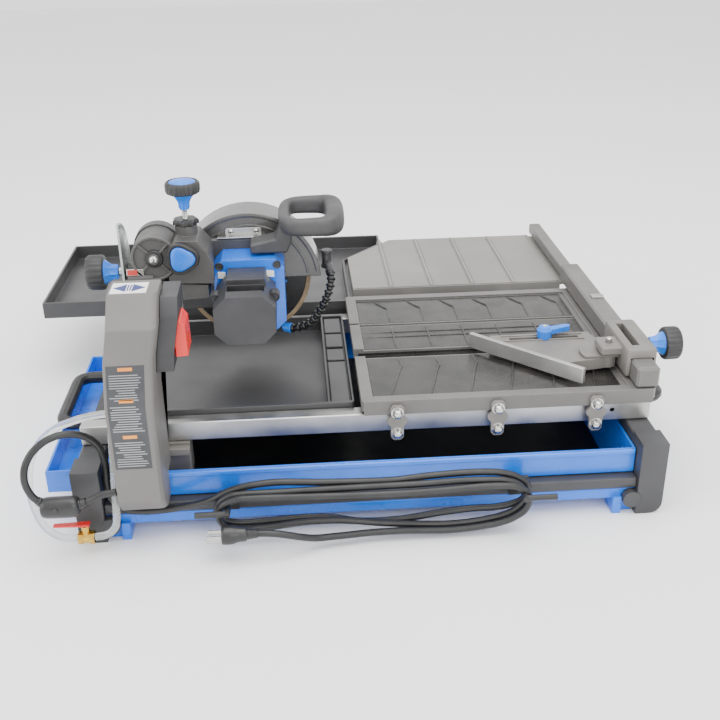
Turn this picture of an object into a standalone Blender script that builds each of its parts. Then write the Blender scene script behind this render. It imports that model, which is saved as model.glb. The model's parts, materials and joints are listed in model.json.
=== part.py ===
"""Wet tile cutter: a water tub and cradle frame, two rails with a sliding table, and a
cantilevered cutting head that tilts for bevels and plunges about its pivot.

Metres, +Z up.  The machine frame used below has X = 0 midway between the side frames,
Y = 0 at the front of the frame and Z = 0 at the feet.  An empty moves the whole model so
that its origin is at the middle of the base.
"""
import math

import bmesh
import bpy
from mathutils import Matrix, Vector

for leftover in list(bpy.data.objects):
    bpy.data.objects.remove(leftover, do_unlink=True)

# ---------------------------------------------------------------- driving dimensions
ORIGIN_X = -0.0374          # machine X that becomes the model's X = 0
ORIGIN_Y = 0.3433           # machine Y that becomes the model's Y = 0
GAP = 0.0003                # clearance between pieces that touch
CLEAR = 0.0010              # clearance between pieces that pass each other
WALL = 0.0030               # moulded wall

FRAME_WIDTH = 0.7240        # over the side frames
FRAME_DEPTH = 0.6000
SIDE_WIDTH = 0.0310
SIDE_TOP = 0.0980
SIDE_BEAM = 0.0270          # height of the beam between the posts
POST_DEPTH = 0.0360
POST_LIP = 0.0025           # front post above and outside its beam

TUB_FLOOR = 0.0120
TUB_TOP = 0.0850
TUB_RIM_LOW = 0.0515
TUB_FRONT = 0.0200
TUB_STEP = 0.0180           # how far the tub's body sits behind its rim
WING_REACH = 0.0440         # tub wing outside the left side frame
WING_START = 0.0460
WING_END = 0.3800

BAR_LOW = 0.0350            # front lower bar
BAR_TOP = 0.0500
FOOT_RAIL_LOW = 0.0180
FOOT_X = (0.3020, 0.3280)

RAIL_DEPTH = 0.0200
RAIL_HEIGHT = 0.0255
FRONT_RAIL_Y = 0.0704
TABLE_TOP = 0.1480
TABLE_LEFT = -0.0110
TABLE_WIDTH = 0.3730
TABLE_FRONT = 0.0580
TABLE_DEPTH = 0.3490
TABLE_RIM = 0.0140
DECK_DROP = 0.0035          # deck below the rim
DECK_THICK = 0.0040
SKIRT = 0.0195
SIDE_SKIRT = 0.0140
SKIRT_WALL = 0.0060
ROLLER_RADIUS = 0.0080
AXLE_RADIUS = 0.0030
BRACKET_X = (0.0330, 0.1600, 0.2860)

BLADE_RADIUS = 0.0890
BLADE_THICK = 0.0024
BLADE_BORE = 0.0080
BLADE_X = -0.1540
BLADE_Y = 0.3000
BLADE_CUT = 0.0060          # blade edge below the table top
KERF = 0.0060
GUARD_X = -0.1500
GUARD_RADIUS = 0.0990
GUARD_DEPTH = 0.0560
GUARD_LOW = 0.0050          # guard's open edge above the blade's centre

HOUSING_X = (-0.1950, -0.1010)
CAP_X = (-0.1910, -0.1130)
ARMATURE_RADIUS = 0.0215
MOTOR_FACE_Y = 0.1250
CAP_DEPTH = 0.0890
HOUSING_DEPTH = 0.0470

BEVEL_Y = 0.2350            # bevel axis, along X
BEVEL_Z = 0.2670
PLUNGE_X = -0.2670          # plunge axis, along Y
PLUNGE_Z = 0.2960
DRUM_RADIUS = 0.0300
PIN_RADIUS = 0.0060

COLUMN_LEFT = -0.2930       # at the top; LEAN moves the lower part to the left
COLUMN_WIDTH = 0.0555
LEAN = ((0.2000, -0.0125), (0.2550, -0.0080), (0.2960, 0.0))
COLUMN_FRONT = -0.0300
COLUMN_BACK = 0.0440
COLUMN_LOW = 0.0560
COLUMN_TOP = 0.3260
PLATE_X = -0.3080           # right face of the fixed bevel plate
SWITCH_WIDTH = 0.0200
COLUMN_SLOPE = 0.0310       # chamfer between the front and the top

FENCE_X = 0.3420
FENCE_WIDTH = 0.0230
FENCE_END = 0.6830
FENCE_LOW = 0.1490
FENCE_TOP = 0.1660
FENCE_STEP_Y = 0.4400
FENCE_HIGH = 0.1770

CORD_RADIUS = 0.00435
HOSE_RADIUS = 0.0045

# ---------------------------------------------------------------- derived places
HALF = FRAME_WIDTH / 2
INNER = HALF - SIDE_WIDTH
RAIL_LOW = SIDE_TOP + 0.0005
RAIL_TOP = RAIL_LOW + RAIL_HEIGHT
TABLE_RIGHT = TABLE_LEFT + TABLE_WIDTH
TABLE_BACK = TABLE_FRONT + TABLE_DEPTH
REAR_RAIL_Y = TABLE_BACK - SKIRT_WALL - 0.0030 - RAIL_DEPTH
DECK_TOP = TABLE_TOP - DECK_DROP
DECK_LOW = DECK_TOP - DECK_THICK
AXLE_Z = RAIL_TOP + ROLLER_RADIUS
BLADE_Z = TABLE_TOP - BLADE_CUT + BLADE_RADIUS
GUARD_FRONT = BLADE_Y - GUARD_DEPTH / 2
GUARD_BACK = BLADE_Y + GUARD_DEPTH / 2
CAP_BACK = MOTOR_FACE_Y + CAP_DEPTH
HOUSING_BACK = CAP_BACK + GAP + HOUSING_DEPTH
TUB_BACK = FRAME_DEPTH - 0.0150
COLUMN_RIGHT = COLUMN_LEFT + COLUMN_WIDTH

origin = bpy.data.objects.new("saw_origin", None)
origin.location = (-ORIGIN_X, -ORIGIN_Y, 0.0)
bpy.context.collection.objects.link(origin)


# ---------------------------------------------------------------- solid tools
def to_object(bm):
    """Turns a bmesh into a linked object with its faces outward."""
    bmesh.ops.remove_doubles(bm, verts=bm.verts, dist=1e-6)
    bmesh.ops.recalc_face_normals(bm, faces=bm.faces)
    mesh = bpy.data.meshes.new("solid")
    bm.to_mesh(mesh)
    bm.free()
    obj = bpy.data.objects.new("solid", mesh)
    bpy.context.collection.objects.link(obj)
    return obj


def round_edges(bm, width, segments=2, along=None):
    """Bevels every edge, or only those that run along one axis."""
    edges = list(bm.edges)
    if along is not None:
        edges = [e for e in edges if abs((e.verts[1].co - e.verts[0].co).normalized()[along]) > 0.99]
    bmesh.ops.bevel(bm, geom=edges, offset=width, segments=segments, affect="EDGES", profile=0.5,
                    clamp_overlap=True)


def block(x, y, z, bevel=0.0, segments=1, along=None):
    """A box between three pairs of limits."""
    bm = bmesh.new()
    bmesh.ops.create_cube(bm, size=1.0)
    size = Vector((x[1] - x[0], y[1] - y[0], z[1] - z[0]))
    middle = Vector((x[0] + x[1], y[0] + y[1], z[0] + z[1])) / 2
    for vert in bm.verts:
        vert.co = Vector(a * b for a, b in zip(vert.co, size)) + middle
    if bevel:
        round_edges(bm, bevel, segments, along)
    return to_object(bm)


def prism(outline, axis, span):
    """An outline of two coordinates, extruded along the third axis (0, 1 or 2)."""
    others = [i for i in range(3) if i != axis]
    bm = bmesh.new()
    rings = []
    for level in span:
        ring = []
        for first, second in outline:
            place = [0.0, 0.0, 0.0]
            place[others[0]], place[others[1]], place[axis] = first, second, level
            ring.append(bm.verts.new(place))
        rings.append(ring)
    bm.faces.new(rings[0])
    bm.faces.new(reversed(rings[1]))
    for i in range(len(outline)):
        j = (i + 1) % len(outline)
        bm.faces.new((rings[0][i], rings[0][j], rings[1][j], rings[1][i]))
    return to_object(bm)


def turned(profile, axis, centre, steps=24, hollow=False):
    """Spins (radius, place along the axis) points about an axis.  A hollow profile is a closed loop."""
    others = [i for i in range(3) if i != axis]
    bm = bmesh.new()
    rings = []
    for radius, level in profile:
        count = steps if radius > 1e-7 else 1
        ring = []
        for k in range(count):
            angle = 2 * math.pi * k / steps
            place = [0.0, 0.0, 0.0]
            place[axis] = level
            place[others[0]] = centre[0] + radius * math.cos(angle)
            place[others[1]] = centre[1] + radius * math.sin(angle)
            ring.append(bm.verts.new(place))
        rings.append(ring)
    pairs = list(zip(rings, rings[1:]))
    if hollow:
        pairs.append((rings[-1], rings[0]))
    else:
        for ring in (rings[0], rings[-1]):
            if len(ring) > 1:
                bm.faces.new(ring)
    for low, high in pairs:
        for k in range(steps):
            n = (k + 1) % steps
            corners = [low[k % len(low)], low[n % len(low)], high[n % len(high)], high[k % len(high)]]
            unique = [c for i, c in enumerate(corners) if c not in corners[:i]]
            bm.faces.new(unique)
    return to_object(bm)


def rod(start, end, radius, steps=16):
    """A round bar between two points."""
    start, end = Vector(start), Vector(end)
    bm = bmesh.new()
    bmesh.ops.create_cone(bm, cap_ends=True, segments=steps, radius1=radius, radius2=radius,
                          depth=(end - start).length)
    turn = Vector((0, 0, 1)).rotation_difference(end - start).to_matrix().to_4x4()
    bm.transform(Matrix.Translation((start + end) / 2) @ turn)
    return to_object(bm)


def smooth_route(points, count):
    """Evenly spread points on a Catmull-Rom curve, between two straight end stretches."""
    route = [Vector(p) for p in points]
    fine = []
    for a, b, c, d in zip(route, route[1:], route[2:], route[3:]):
        for k in range(20):
            t = k / 20
            fine.append(0.5 * (2 * b + (c - a) * t + (2 * a - 5 * b + 4 * c - d) * t ** 2
                               + (3 * b - a - 3 * c + d) * t ** 3))
    fine.append(route[-2])
    lengths = [0.0]
    for a, b in zip(fine, fine[1:]):
        lengths.append(lengths[-1] + (b - a).length)
    spread = [route[0]]
    place = 0
    for k in range(count):
        want = lengths[-1] * k / (count - 1)
        while place < len(fine) - 2 and lengths[place + 1] < want:
            place += 1
        step = lengths[place + 1] - lengths[place]
        spread.append(fine[place].lerp(fine[place + 1], (want - lengths[place]) / step))
    return spread + [route[-1]]


def pipe(points, radius, sides=10):
    """A closed round tube along a list of points, kept from twisting from ring to ring."""
    points = [Vector(p) for p in points]
    bm = bmesh.new()
    rings = []
    side = None
    for i, point in enumerate(points):
        ahead = (points[min(i + 1, len(points) - 1)] - points[max(i - 1, 0)]).normalized()
        if side is None:
            side = ahead.orthogonal().normalized()
        side = (side - ahead * side.dot(ahead)).normalized()
        up = ahead.cross(side)
        rings.append([bm.verts.new(point + radius * (side * math.cos(a) + up * math.sin(a)))
                      for a in (2 * math.pi * k / sides for k in range(sides))])
    bm.faces.new(rings[0])
    bm.faces.new(reversed(rings[-1]))
    for low, high in zip(rings, rings[1:]):
        for k in range(sides):
            n = (k + 1) % sides
            bm.faces.new((low[k], low[n], high[n], high[k]))
    return to_object(bm)


def combine(operation, base, tools):
    """Applies one Boolean for each tool and removes the tools."""
    for tool in tools:
        step = base.modifiers.new(operation, "BOOLEAN")
        step.operation = operation
        step.solver = "EXACT"
        step.object = tool
    graph = bpy.context.evaluated_depsgraph_get()
    mesh = bpy.data.meshes.new_from_object(base.evaluated_get(graph))
    base.modifiers.clear()
    base.data = mesh
    for tool in tools:
        bpy.data.objects.remove(tool, do_unlink=True)
    return base


def fuse(base, *tools):
    return combine("UNION", base, tools)


def cut(base, *tools):
    return combine("DIFFERENCE", base, tools)


def material(name, colour, roughness, metallic=0.0):
    made = bpy.data.materials.new(name)
    made.use_nodes = True
    shader = made.node_tree.nodes["Principled BSDF"]
    shader.inputs["Base Color"].default_value = (*colour, 1.0)
    shader.inputs["Roughness"].default_value = roughness
    shader.inputs["Metallic"].default_value = metallic
    return made


COLOURS = {
    "blue": ((0.010, 0.150, 0.700), 0.35, 0.0), "dark": ((0.035, 0.035, 0.037), 0.55, 0.0),
    "black": ((0.010, 0.010, 0.011), 0.45, 0.0), "grey": ((0.110, 0.110, 0.108), 0.50, 0.0),
    "light": ((0.210, 0.208, 0.200), 0.50, 0.0), "metal": ((0.560, 0.560, 0.560), 0.30, 1.0),
    "cast": ((0.150, 0.148, 0.142), 0.50, 0.3), "red": ((0.700, 0.030, 0.015), 0.40, 0.0),
    "brass": ((0.600, 0.420, 0.160), 0.30, 1.0), "clear": ((0.700, 0.720, 0.720), 0.15, 0.0),
}


def place(obj, name, colour, pivot=(0.0, 0.0, 0.0), smooth=False):
    """Names a finished solid, gives it its own material and puts its origin on its pivot."""
    obj.name = name
    obj.data.name = name
    obj.data.transform(Matrix.Translation(-Vector(pivot)))
    obj.location = pivot
    obj.parent = origin
    obj.data.materials.clear()
    obj.data.materials.append(material(name, *COLOURS[colour]))
    if smooth:
        obj.data.shade_smooth()
        obj.data.set_sharp_from_angle(angle=math.radians(35))
    return obj


# ---------------------------------------------------------------- tub and cradle frame
def water_tub():
    """Pan with a stepped rim at the front and back, and a shallow wing outside the left frame."""
    half = INNER - GAP * 4
    front, back = TUB_FRONT, TUB_BACK

    def section(inset, top):
        return [(front + TUB_STEP + inset, TUB_FLOOR + inset),
                (front + TUB_STEP + inset, TUB_RIM_LOW + inset),
                (front + inset, TUB_RIM_LOW + inset), (front + inset, top), (back - inset, top),
                (back - inset, TUB_RIM_LOW + inset), (back - TUB_STEP - inset, TUB_RIM_LOW + inset),
                (back - TUB_STEP - inset, TUB_FLOOR + inset)]

    pan = prism(section(0.0, TUB_TOP), 0, (-half, half))
    under_beam = SIDE_TOP - SIDE_BEAM - 0.0020
    outer = -HALF - WING_REACH
    wing = block((outer, -half + 0.001), (WING_START, WING_END), (TUB_RIM_LOW - 0.004, under_beam))
    lip = block((outer, -HALF - 0.003), (WING_START, WING_END), (under_beam - 0.004, under_beam + 0.008))
    pan = fuse(pan, wing, lip)
    pocket = prism(section(WALL, TUB_TOP + 0.01), 0, (-half + WALL, half - WALL))
    channel = block((outer + WALL, -HALF - 0.003 - WALL), (WING_START + WALL, WING_END - WALL),
                    (TUB_RIM_LOW, TUB_TOP + 0.01))
    pan = cut(pan, pocket, channel)
    return place(pan, "water_tub", "blue")


def side_frame(name, side):
    """Beam with a post at each end; the front post has a rounded foot and a hinge knuckle."""
    outer, inner = side * HALF, side * INNER
    x = (min(outer, inner), max(outer, inner))
    beam = block(x, (0.0100, FRAME_DEPTH - 0.0100), (SIDE_TOP - SIDE_BEAM, SIDE_TOP - 0.0004), 0.0015)
    curve = 0.016

    def post(y, edge, top):
        arc = [(edge - side * curve * (1 - math.cos(a)), curve * (1 - math.sin(a)))
               for a in (math.pi / 2 * k / 5 for k in range(6))]
        return prism([(inner, 0.0), (inner, top), (edge, top)] + arc, 1, y)

    front = post((0.0, POST_DEPTH), outer + side * POST_LIP, SIDE_TOP + POST_LIP)
    rear = post((FRAME_DEPTH - POST_DEPTH, FRAME_DEPTH), outer, SIDE_TOP)
    knuckle = rod((inner - side * 0.006, -0.0010, 0.0220), (inner - side * 0.006, 0.0095, 0.0220), 0.0115)
    web = block((min(inner, inner - side * 0.006), max(inner, inner - side * 0.006)), (-0.0005, 0.0090),
                (0.0120, 0.0320))
    frame = fuse(front, beam, rear, web, knuckle)
    return place(frame, name, "dark")


def front_lower_bar():
    bar = block((-INNER + 2 * GAP, INNER - 2 * GAP), (0.0060, 0.0300), (BAR_LOW, BAR_TOP), 0.003, 2, 0)
    return place(bar, "front_lower_bar", "dark")


def foot_rail(name, y, toe):
    """Bar with two feet that stand on the floor; each foot has a narrower toe beside the post."""
    rail = block((-INNER + 2 * GAP, INNER - 2 * GAP), y, (FOOT_RAIL_LOW, BAR_LOW - 2 * GAP), 0.002, 1, 0)
    inner, outer = FOOT_X
    feet = []
    for side in (-1, 1):
        for end, limits in ((outer, y), (inner + 0.0110, toe)):
            x = sorted((side * inner, side * end))
            feet.append(block(x, (limits[0] + 0.0005, limits[1] - 0.0005), (0.0, FOOT_RAIL_LOW + 0.006)))
    return place(fuse(rail, *feet), name, "blue")


def carry_handle(name, side):
    """Round bar loop that stands out of the side frame for lifting."""
    near, far = side * (HALF + GAP), side * (HALF + 0.0430)
    bend, low, high, z = 0.018, 0.148, 0.284, 0.0880
    points = [(near, low, z)]
    for centre_y, start in ((low + bend, -90), (high - bend, 0)):
        for k in range(7):
            angle = math.radians(start + 15 * k)
            x = far - side * bend * (1 - math.cos(angle))
            points.append((x, centre_y + bend * math.sin(angle), z))
    points.append((near, high, z))
    return place(pipe(points, 0.0085), name, "black", smooth=True)


def cord_hook(name, side):
    """Stem out of the lower bar with a bar that points outward, which the cord hangs on."""
    x, z, reach = side * 0.1790, 0.0580, -0.0410
    base = block((x - 0.012, x + 0.012), (0.0015, 0.0057), (0.0370, 0.0640), 0.001)
    stem = rod((x, 0.0030, z), (x, reach, z), 0.0040, 12)
    arm = rod((x - side * 0.002, reach + 0.0035, z), (x + side * 0.0380, reach + 0.0035, z), 0.0039, 12)
    return place(fuse(base, stem, arm), name, "black", smooth=True)


# ---------------------------------------------------------------- rails
def rail(name, y):
    """Aluminium box section with a hole near each end."""
    bar = block((-HALF, HALF), (y, y + RAIL_DEPTH), (RAIL_LOW, RAIL_TOP), 0.0010)
    hollow = block((-HALF - 0.01, HALF + 0.01), (y + WALL, y + RAIL_DEPTH - WALL),
                   (RAIL_LOW + WALL, RAIL_TOP - WALL))
    hole = rod((HALF - 0.050, y - 0.01, RAIL_LOW + 0.015), (HALF - 0.050, y + WALL + 0.001, RAIL_LOW + 0.015),
               0.0030, 12)
    return place(cut(bar, hollow, hole), name, "metal")


# ---------------------------------------------------------------- column
def lean(z):
    """How far the column's sides are shifted in X at one height."""
    for (low, low_shift), (high, high_shift) in zip(LEAN, LEAN[1:]):
        if z < high:
            return low_shift + (high_shift - low_shift) * max(z - low, 0.0) / (high - low)
    return LEAN[-1][1]


def leaning_block(x, levels, fillet=0.0):
    """Stack of (z, y front, y back) sections whose sides follow the lean, with a round right front edge."""
    bm = bmesh.new()
    rings = []
    for z, front, back in levels:
        left, right = x[0] + lean(z), x[1] + lean(z)
        corner = [(right - fillet * (1 - math.sin(a)), front + fillet * (1 - math.cos(a)))
                  for a in (math.pi / 2 * k / 3 for k in range(4 if fillet else 1))]
        section = [(left, back), (left, front)] + corner + [(right, back)]
        rings.append([bm.verts.new((px, py, z)) for px, py in section])
    bm.faces.new(rings[0])
    bm.faces.new(reversed(rings[-1]))
    for low, high in zip(rings, rings[1:]):
        for k in range(len(low)):
            n = (k + 1) % len(low)
            bm.faces.new((low[k], low[n], high[n], high[k]))
    return to_object(bm)


def column_cover():
    """Thin leaning shell over the post, open towards the rails and above the tub's rim."""
    def shape(inset, back, low_back, fillet):
        x = (COLUMN_LEFT + inset, COLUMN_RIGHT - inset)
        front, low, top = COLUMN_FRONT + inset, COLUMN_LOW + inset, COLUMN_TOP - inset
        step = TUB_TOP + 0.0025
        heights = [z for z, _ in LEAN[:-1]] + [top - COLUMN_SLOPE + inset * 0.41]
        upper = [(step, front, back)] + [(z, front, back) for z in heights]
        upper.append((top, COLUMN_FRONT + COLUMN_SLOPE, back))
        foot = [(low, front + 0.014, low_back), (low + 0.020, front, low_back),
                (step + 0.001, front, low_back)]
        return fuse(leaning_block(x, upper, fillet), leaning_block(x, foot, fillet))

    shell = shape(0.0, COLUMN_BACK, TUB_FRONT - 0.0015, 0.0090)
    hollow = shape(WALL, COLUMN_BACK + 0.02, TUB_FRONT + 0.02, 0.0070)
    return place(cut(shell, hollow), "column_cover", "grey")


def column_post():
    """Casting inside the cover: foot under the front rail, upright, and the arm to the bevel axis."""
    x = (-0.2950, -0.2560)
    foot = block(x, (-0.0100, 0.0960), (TUB_TOP + 0.0040, RAIL_LOW - 0.0006))
    spur = block((x[1] - 0.001, -0.2280), (0.0500, 0.0960), (TUB_TOP + 0.0040, RAIL_LOW - 0.0006))
    hanger = block((-0.2620, -0.2280), (0.0660, 0.0960), (0.0480, RAIL_LOW - 0.0010), 0.002)
    upright = block(x, (-0.0060, 0.0400), (TUB_TOP + 0.0040, 0.2600))
    shoulder = block((x[0] + 0.001, x[1] - 0.001), (0.0300, 0.0760), (0.2230, 0.2550))
    arm = block((PLATE_X, PLATE_X + 0.0300), (0.0500, 0.1950), (0.2220, 0.2560), 0.002)
    casting = fuse(upright, foot, spur, hanger, shoulder, arm)
    bracket_way = block((x[0] - CLEAR, -0.2270), (TABLE_FRONT - 0.0075, FRONT_RAIL_Y - 0.0040),
                        (RAIL_LOW - 0.0050, RAIL_TOP))
    return place(cut(casting, bracket_way), "column_post", "cast")


def switch_box():
    """Housing for the switch on the column's right side, shaped to its lean."""
    levels = [(0.2320, -0.0040, 0.0500), (0.2550, -0.0040, 0.0600), (0.2960, -0.0040, 0.0600),
              (0.3020, -0.0010, 0.0600), (0.3170, 0.0120, 0.0600)]
    body = leaning_block((COLUMN_RIGHT + GAP, COLUMN_RIGHT + SWITCH_WIDTH), levels)
    right = COLUMN_RIGHT + SWITCH_WIDTH
    recess = block((right - 0.0090, right + 0.01), (0.0050, 0.0510), (0.2400, 0.2905))
    return place(cut(body, recess), "switch_box", "dark")


def switch_paddle():
    """Red paddle that hinges at its top edge and stands out of the switch box."""
    right = COLUMN_RIGHT + SWITCH_WIDTH - 0.0040
    hinge = (right + 0.0010, 0.0280, 0.2860)
    paddle = prism([(right - 0.0040, 0.2440), (right + 0.0105, 0.2450), (right + 0.0095, 0.2810),
                    (right + 0.0040, 0.2885), (right - 0.0040, 0.2885)], 1, (0.0075, 0.0485))
    return place(paddle, "switch_paddle", "red", hinge)


# ---------------------------------------------------------------- trays and extension table
def centre_tray():
    """Splash pan between the rails, with a strip of steps along its right side."""
    x, y = (-0.3270, -0.0180), (FRONT_RAIL_Y + RAIL_DEPTH + 0.0012, REAR_RAIL_Y - 0.0012)
    low, top = 0.1040, 0.1310
    pan = block(x, y, (low, top), 0.004, 2, 2)
    well = block((x[0] + WALL, x[1] - 0.0340), (y[0] + 0.0050, y[1] - WALL), (low + WALL, top + 0.01))
    strip = block((x[1] - 0.0310, x[1] - WALL), (y[0] + 0.0050, y[1] - WALL), (top - 0.0070, top + 0.01))
    pan = cut(pan, well, strip)
    return place(pan, "centre_tray", "dark")


def rear_tray():
    """Wide splash pan behind the head, with one corner cut back beside the extension table."""
    z, lip, left = 0.1140, 0.1400, -0.4880
    outer = [(left, 0.4500), (-0.3420, 0.4500), (-0.3050, 0.4120), (-0.0020, 0.4120), (-0.0020, 0.5980),
             (0.0680, 0.6780), (0.0680, 0.7280), (left, 0.7280)]
    inner = [(left + 0.0040, 0.4540), (-0.3400, 0.4540), (-0.3030, 0.4160), (-0.0060, 0.4160),
             (-0.0060, 0.5995), (0.0640, 0.6795), (0.0640, 0.7240), (left + 0.0040, 0.7240)]
    pan = prism(outer, 2, (z, lip))
    stay = block((-0.3450, -0.0400), (0.5600, 0.5800), (SIDE_TOP + 0.0010, z + 0.001))
    return place(cut(fuse(pan, stay), prism(inner, 2, (z + WALL, lip + 0.01))), "rear_tray", "dark")


def extension_table():
    """Flat support plate behind the sliding table, with four stiffening ribs on top."""
    x, y, top = (0.0035, FENCE_X - 0.0035), (TABLE_BACK + 0.0350, TABLE_BACK + 0.2720), TABLE_TOP - 0.0020
    outline = [(x[0], y[0]), (x[1], y[0]), (x[1], y[1]), (x[0] + 0.0800, y[1]), (x[0], y[1] - 0.0870)]
    plate = prism(outline, 2, (0.1290, top))
    under = block((x[0] + 0.06, x[1] - 0.006), (y[0] + 0.006, y[1] - 0.006), (0.12, 0.1415))
    plate = cut(plate, under)
    ribs = [block((rx - 0.0025, rx + 0.0025), (y[0] + 0.004, y[1] - 0.004), (top - 0.001, top + 0.0020))
            for rx in (0.0650, 0.1305, 0.1965, 0.2630)]
    return place(fuse(plate, *ribs), "extension_table", "light")


def extension_support():
    """Two square arms and a cross bar that carry the extension table from the frame."""
    arms = [block((ax - 0.008, ax + 0.008), (TABLE_BACK - 0.0010, 0.6400), (0.1120, 0.1280))
            for ax in (0.1000, 0.2500)]
    cross = block((0.0600, INNER + 0.0150), (0.5650, 0.5850), (SIDE_TOP + 0.0005, 0.1130))
    return place(fuse(cross, *arms), "extension_support", "metal")


# ---------------------------------------------------------------- sliding table
def table_casting():
    """Rimmed deck with a kerf slot, a wider bevel slot, skirts and the rear roller axles."""
    x, y = (TABLE_LEFT, TABLE_RIGHT), (TABLE_FRONT, TABLE_BACK)
    body = block(x, y, (TABLE_TOP - SIDE_SKIRT, TABLE_TOP), 0.003, 1, 2)
    skirts = [block((x[0] + 0.003, x[1] - 0.003), span, (TABLE_TOP - SKIRT, TABLE_TOP - 0.002))
              for span in ((y[0] - 0.00002, y[0] + SKIRT_WALL), (y[1] - SKIRT_WALL, y[1] + 0.00002))]
    body = fuse(body, *skirts)
    under = block((x[0] + SKIRT_WALL, x[1] - SKIRT_WALL),
                  (y[0] + SKIRT_WALL + 0.0001, y[1] - SKIRT_WALL - 0.0001), (TABLE_TOP - 0.03, DECK_LOW))
    recess = block((x[0] + TABLE_RIM, FENCE_X - 0.0130), (y[0] + TABLE_RIM, y[1] - TABLE_RIM),
                   (DECK_TOP, TABLE_TOP + 0.01))
    slots = [block((x[0] - 0.01, FENCE_X - 0.0180), span, (TABLE_TOP - 0.03, TABLE_TOP + 0.01))
             for span in ((BLADE_Y - KERF / 2, BLADE_Y + KERF / 2), (0.1900, 0.2140))]
    notches = [block((bx - 0.0035, bx + 0.0035), (y[0] - 0.01, y[0] + 0.01),
                     (TABLE_TOP - 0.03, AXLE_Z + 0.0035))
               for bx in BRACKET_X]
    body = cut(body, under, recess, *slots, *notches)
    axles = [rod((bx, REAR_RAIL_Y + 0.0010, AXLE_Z), (bx, y[1] - 0.003, AXLE_Z), AXLE_RADIUS)
             for bx in (BRACKET_X[0], BRACKET_X[2])]
    return place(fuse(body, *axles), "table_casting", "cast")


def front_bracket(index, x, with_axle):
    """Hanger plate on the front skirt: dome nut, guide pad on the rail, and a roller axle."""
    back = TABLE_FRONT - GAP
    front = back - 0.0052
    top, low = AXLE_Z + 0.0110, RAIL_LOW - 0.0040
    outline = [(x + 0.0055, top), (x + 0.0090, top - 0.004), (x + 0.0080, top - 0.0150),
               (x + 0.0130, top - 0.0210), (x + 0.0125, top - 0.0250), (x + 0.0085, top - 0.0290),
               (x + 0.0080, low + 0.004), (x + 0.0045, low)]
    outline += [(2 * x - px, pz) for px, pz in reversed(outline)]
    plate = prism(outline, 1, (front, back))
    pad = rod((x, front + 0.001, RAIL_LOW + 0.006), (x, FRONT_RAIL_Y - GAP, RAIL_LOW + 0.006), 0.0050, 12)
    tools = [pad]
    for level in (AXLE_Z + 0.001, RAIL_LOW + 0.006):
        tools.append(turned([(0.0, front - 0.0075), (0.0045, front - 0.0060), (0.0062, front - 0.0030),
                             (0.0062, front + 0.001), (0.0, front + 0.001)], 1, (x, level), 12))
    if with_axle:
        tools.append(rod((x, front + 0.001, AXLE_Z), (x, FRONT_RAIL_Y + RAIL_DEPTH - 0.001, AXLE_Z),
                         AXLE_RADIUS))
    return place(fuse(plate, *tools), f"front_bracket_{index}", "cast")


def roller(name, x, y):
    """Grooveless roller on its axle, standing on a rail."""
    bore, radius = AXLE_RADIUS + GAP, ROLLER_RADIUS - 0.0001
    wheel = turned([(bore, y[0]), (radius - 0.001, y[0]), (radius, y[0] + 0.001), (radius, y[1] - 0.001),
                    (radius - 0.001, y[1]), (bore, y[1])], 1, (x, AXLE_Z), 20, hollow=True)
    return place(wheel, name, "light", (x, (y[0] + y[1]) / 2, AXLE_Z), smooth=True)


def fence_bar():
    """Stop bar along the table's right edge: a thick front length and a thinner rear one."""
    x = (FENCE_X, FENCE_X + FENCE_WIDTH)
    rear = block((x[0], x[1] - 0.004), (FENCE_STEP_Y - 0.01, FENCE_END), (FENCE_LOW, FENCE_TOP), 0.0015)
    front = block((x[0] - 0.006, x[1]), (TABLE_FRONT, FENCE_STEP_Y), (FENCE_LOW + 0.0002, FENCE_HIGH), 0.003)
    return place(fuse(rear, front), "fence_bar", "grey")


# ---------------------------------------------------------------- angle guide
GUIDE_PIVOT = (0.3180, 0.1260)


def guide_carriage():
    """Saddle that rides on the fence, with a tongue over the guide's pivot."""
    left, right = FENCE_X - 0.0120, FENCE_X + FENCE_WIDTH + 0.0050
    body = block((left, right), (0.0860, 0.1860), (0.1500, 0.1900), 0.005, 2)
    tongue = block((GUIDE_PIVOT[0] - 0.0140, left + 0.006),
                   (GUIDE_PIVOT[1] - 0.0180, GUIDE_PIVOT[1] + 0.0180), (0.1720, 0.1840), 0.002)
    body = fuse(body, tongue)
    way = block((FENCE_X - 0.006 - CLEAR * 0.5, FENCE_X + FENCE_WIDTH + CLEAR * 0.5), (0.05, 0.22),
                (0.14, FENCE_HIGH + 0.0005))
    pin_hole = rod((*GUIDE_PIVOT, 0.15), (*GUIDE_PIVOT, 0.20), 0.0045)
    slot = block((FENCE_X - 0.002, FENCE_X + 0.008), (0.1000, 0.1700), (0.16, 0.20))
    return place(cut(body, way, pin_hole, slot), "guide_carriage", "grey")


def guide_arm():
    """Swinging arm: pivot disc with its pin, and a slotted plate behind the aluminium face."""
    px, py = GUIDE_PIVOT
    outline = [(px - 0.006, py - 0.0100), (px + 0.0080, py - 0.0080), (px + 0.0100, py + 0.0100),
               (px - 0.0060, py + 0.0740), (0.1760, py + 0.0740),
               (0.1740, py + 0.0640), (0.2560, py - 0.0200)]
    plate = prism(outline, 2, (0.1510, 0.1660))
    disc = turned([(0.0, 0.1515), (0.0110, 0.1515), (0.0110, 0.1712), (0.0, 0.1712)], 2, GUIDE_PIVOT, 20)
    pin = rod((px, py, 0.1700), (px, py, 0.1890), 0.0040)
    arm = fuse(plate, disc, pin)
    slot = block((0.2000, 0.2950), (py + 0.0560, py + 0.0640), (0.14, 0.18))
    return place(cut(arm, slot), "guide_arm", "dark", (px, py, 0.1585))


FACE_ENDS = ((0.1520, 0.2050), (0.2760, 0.0800))


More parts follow.
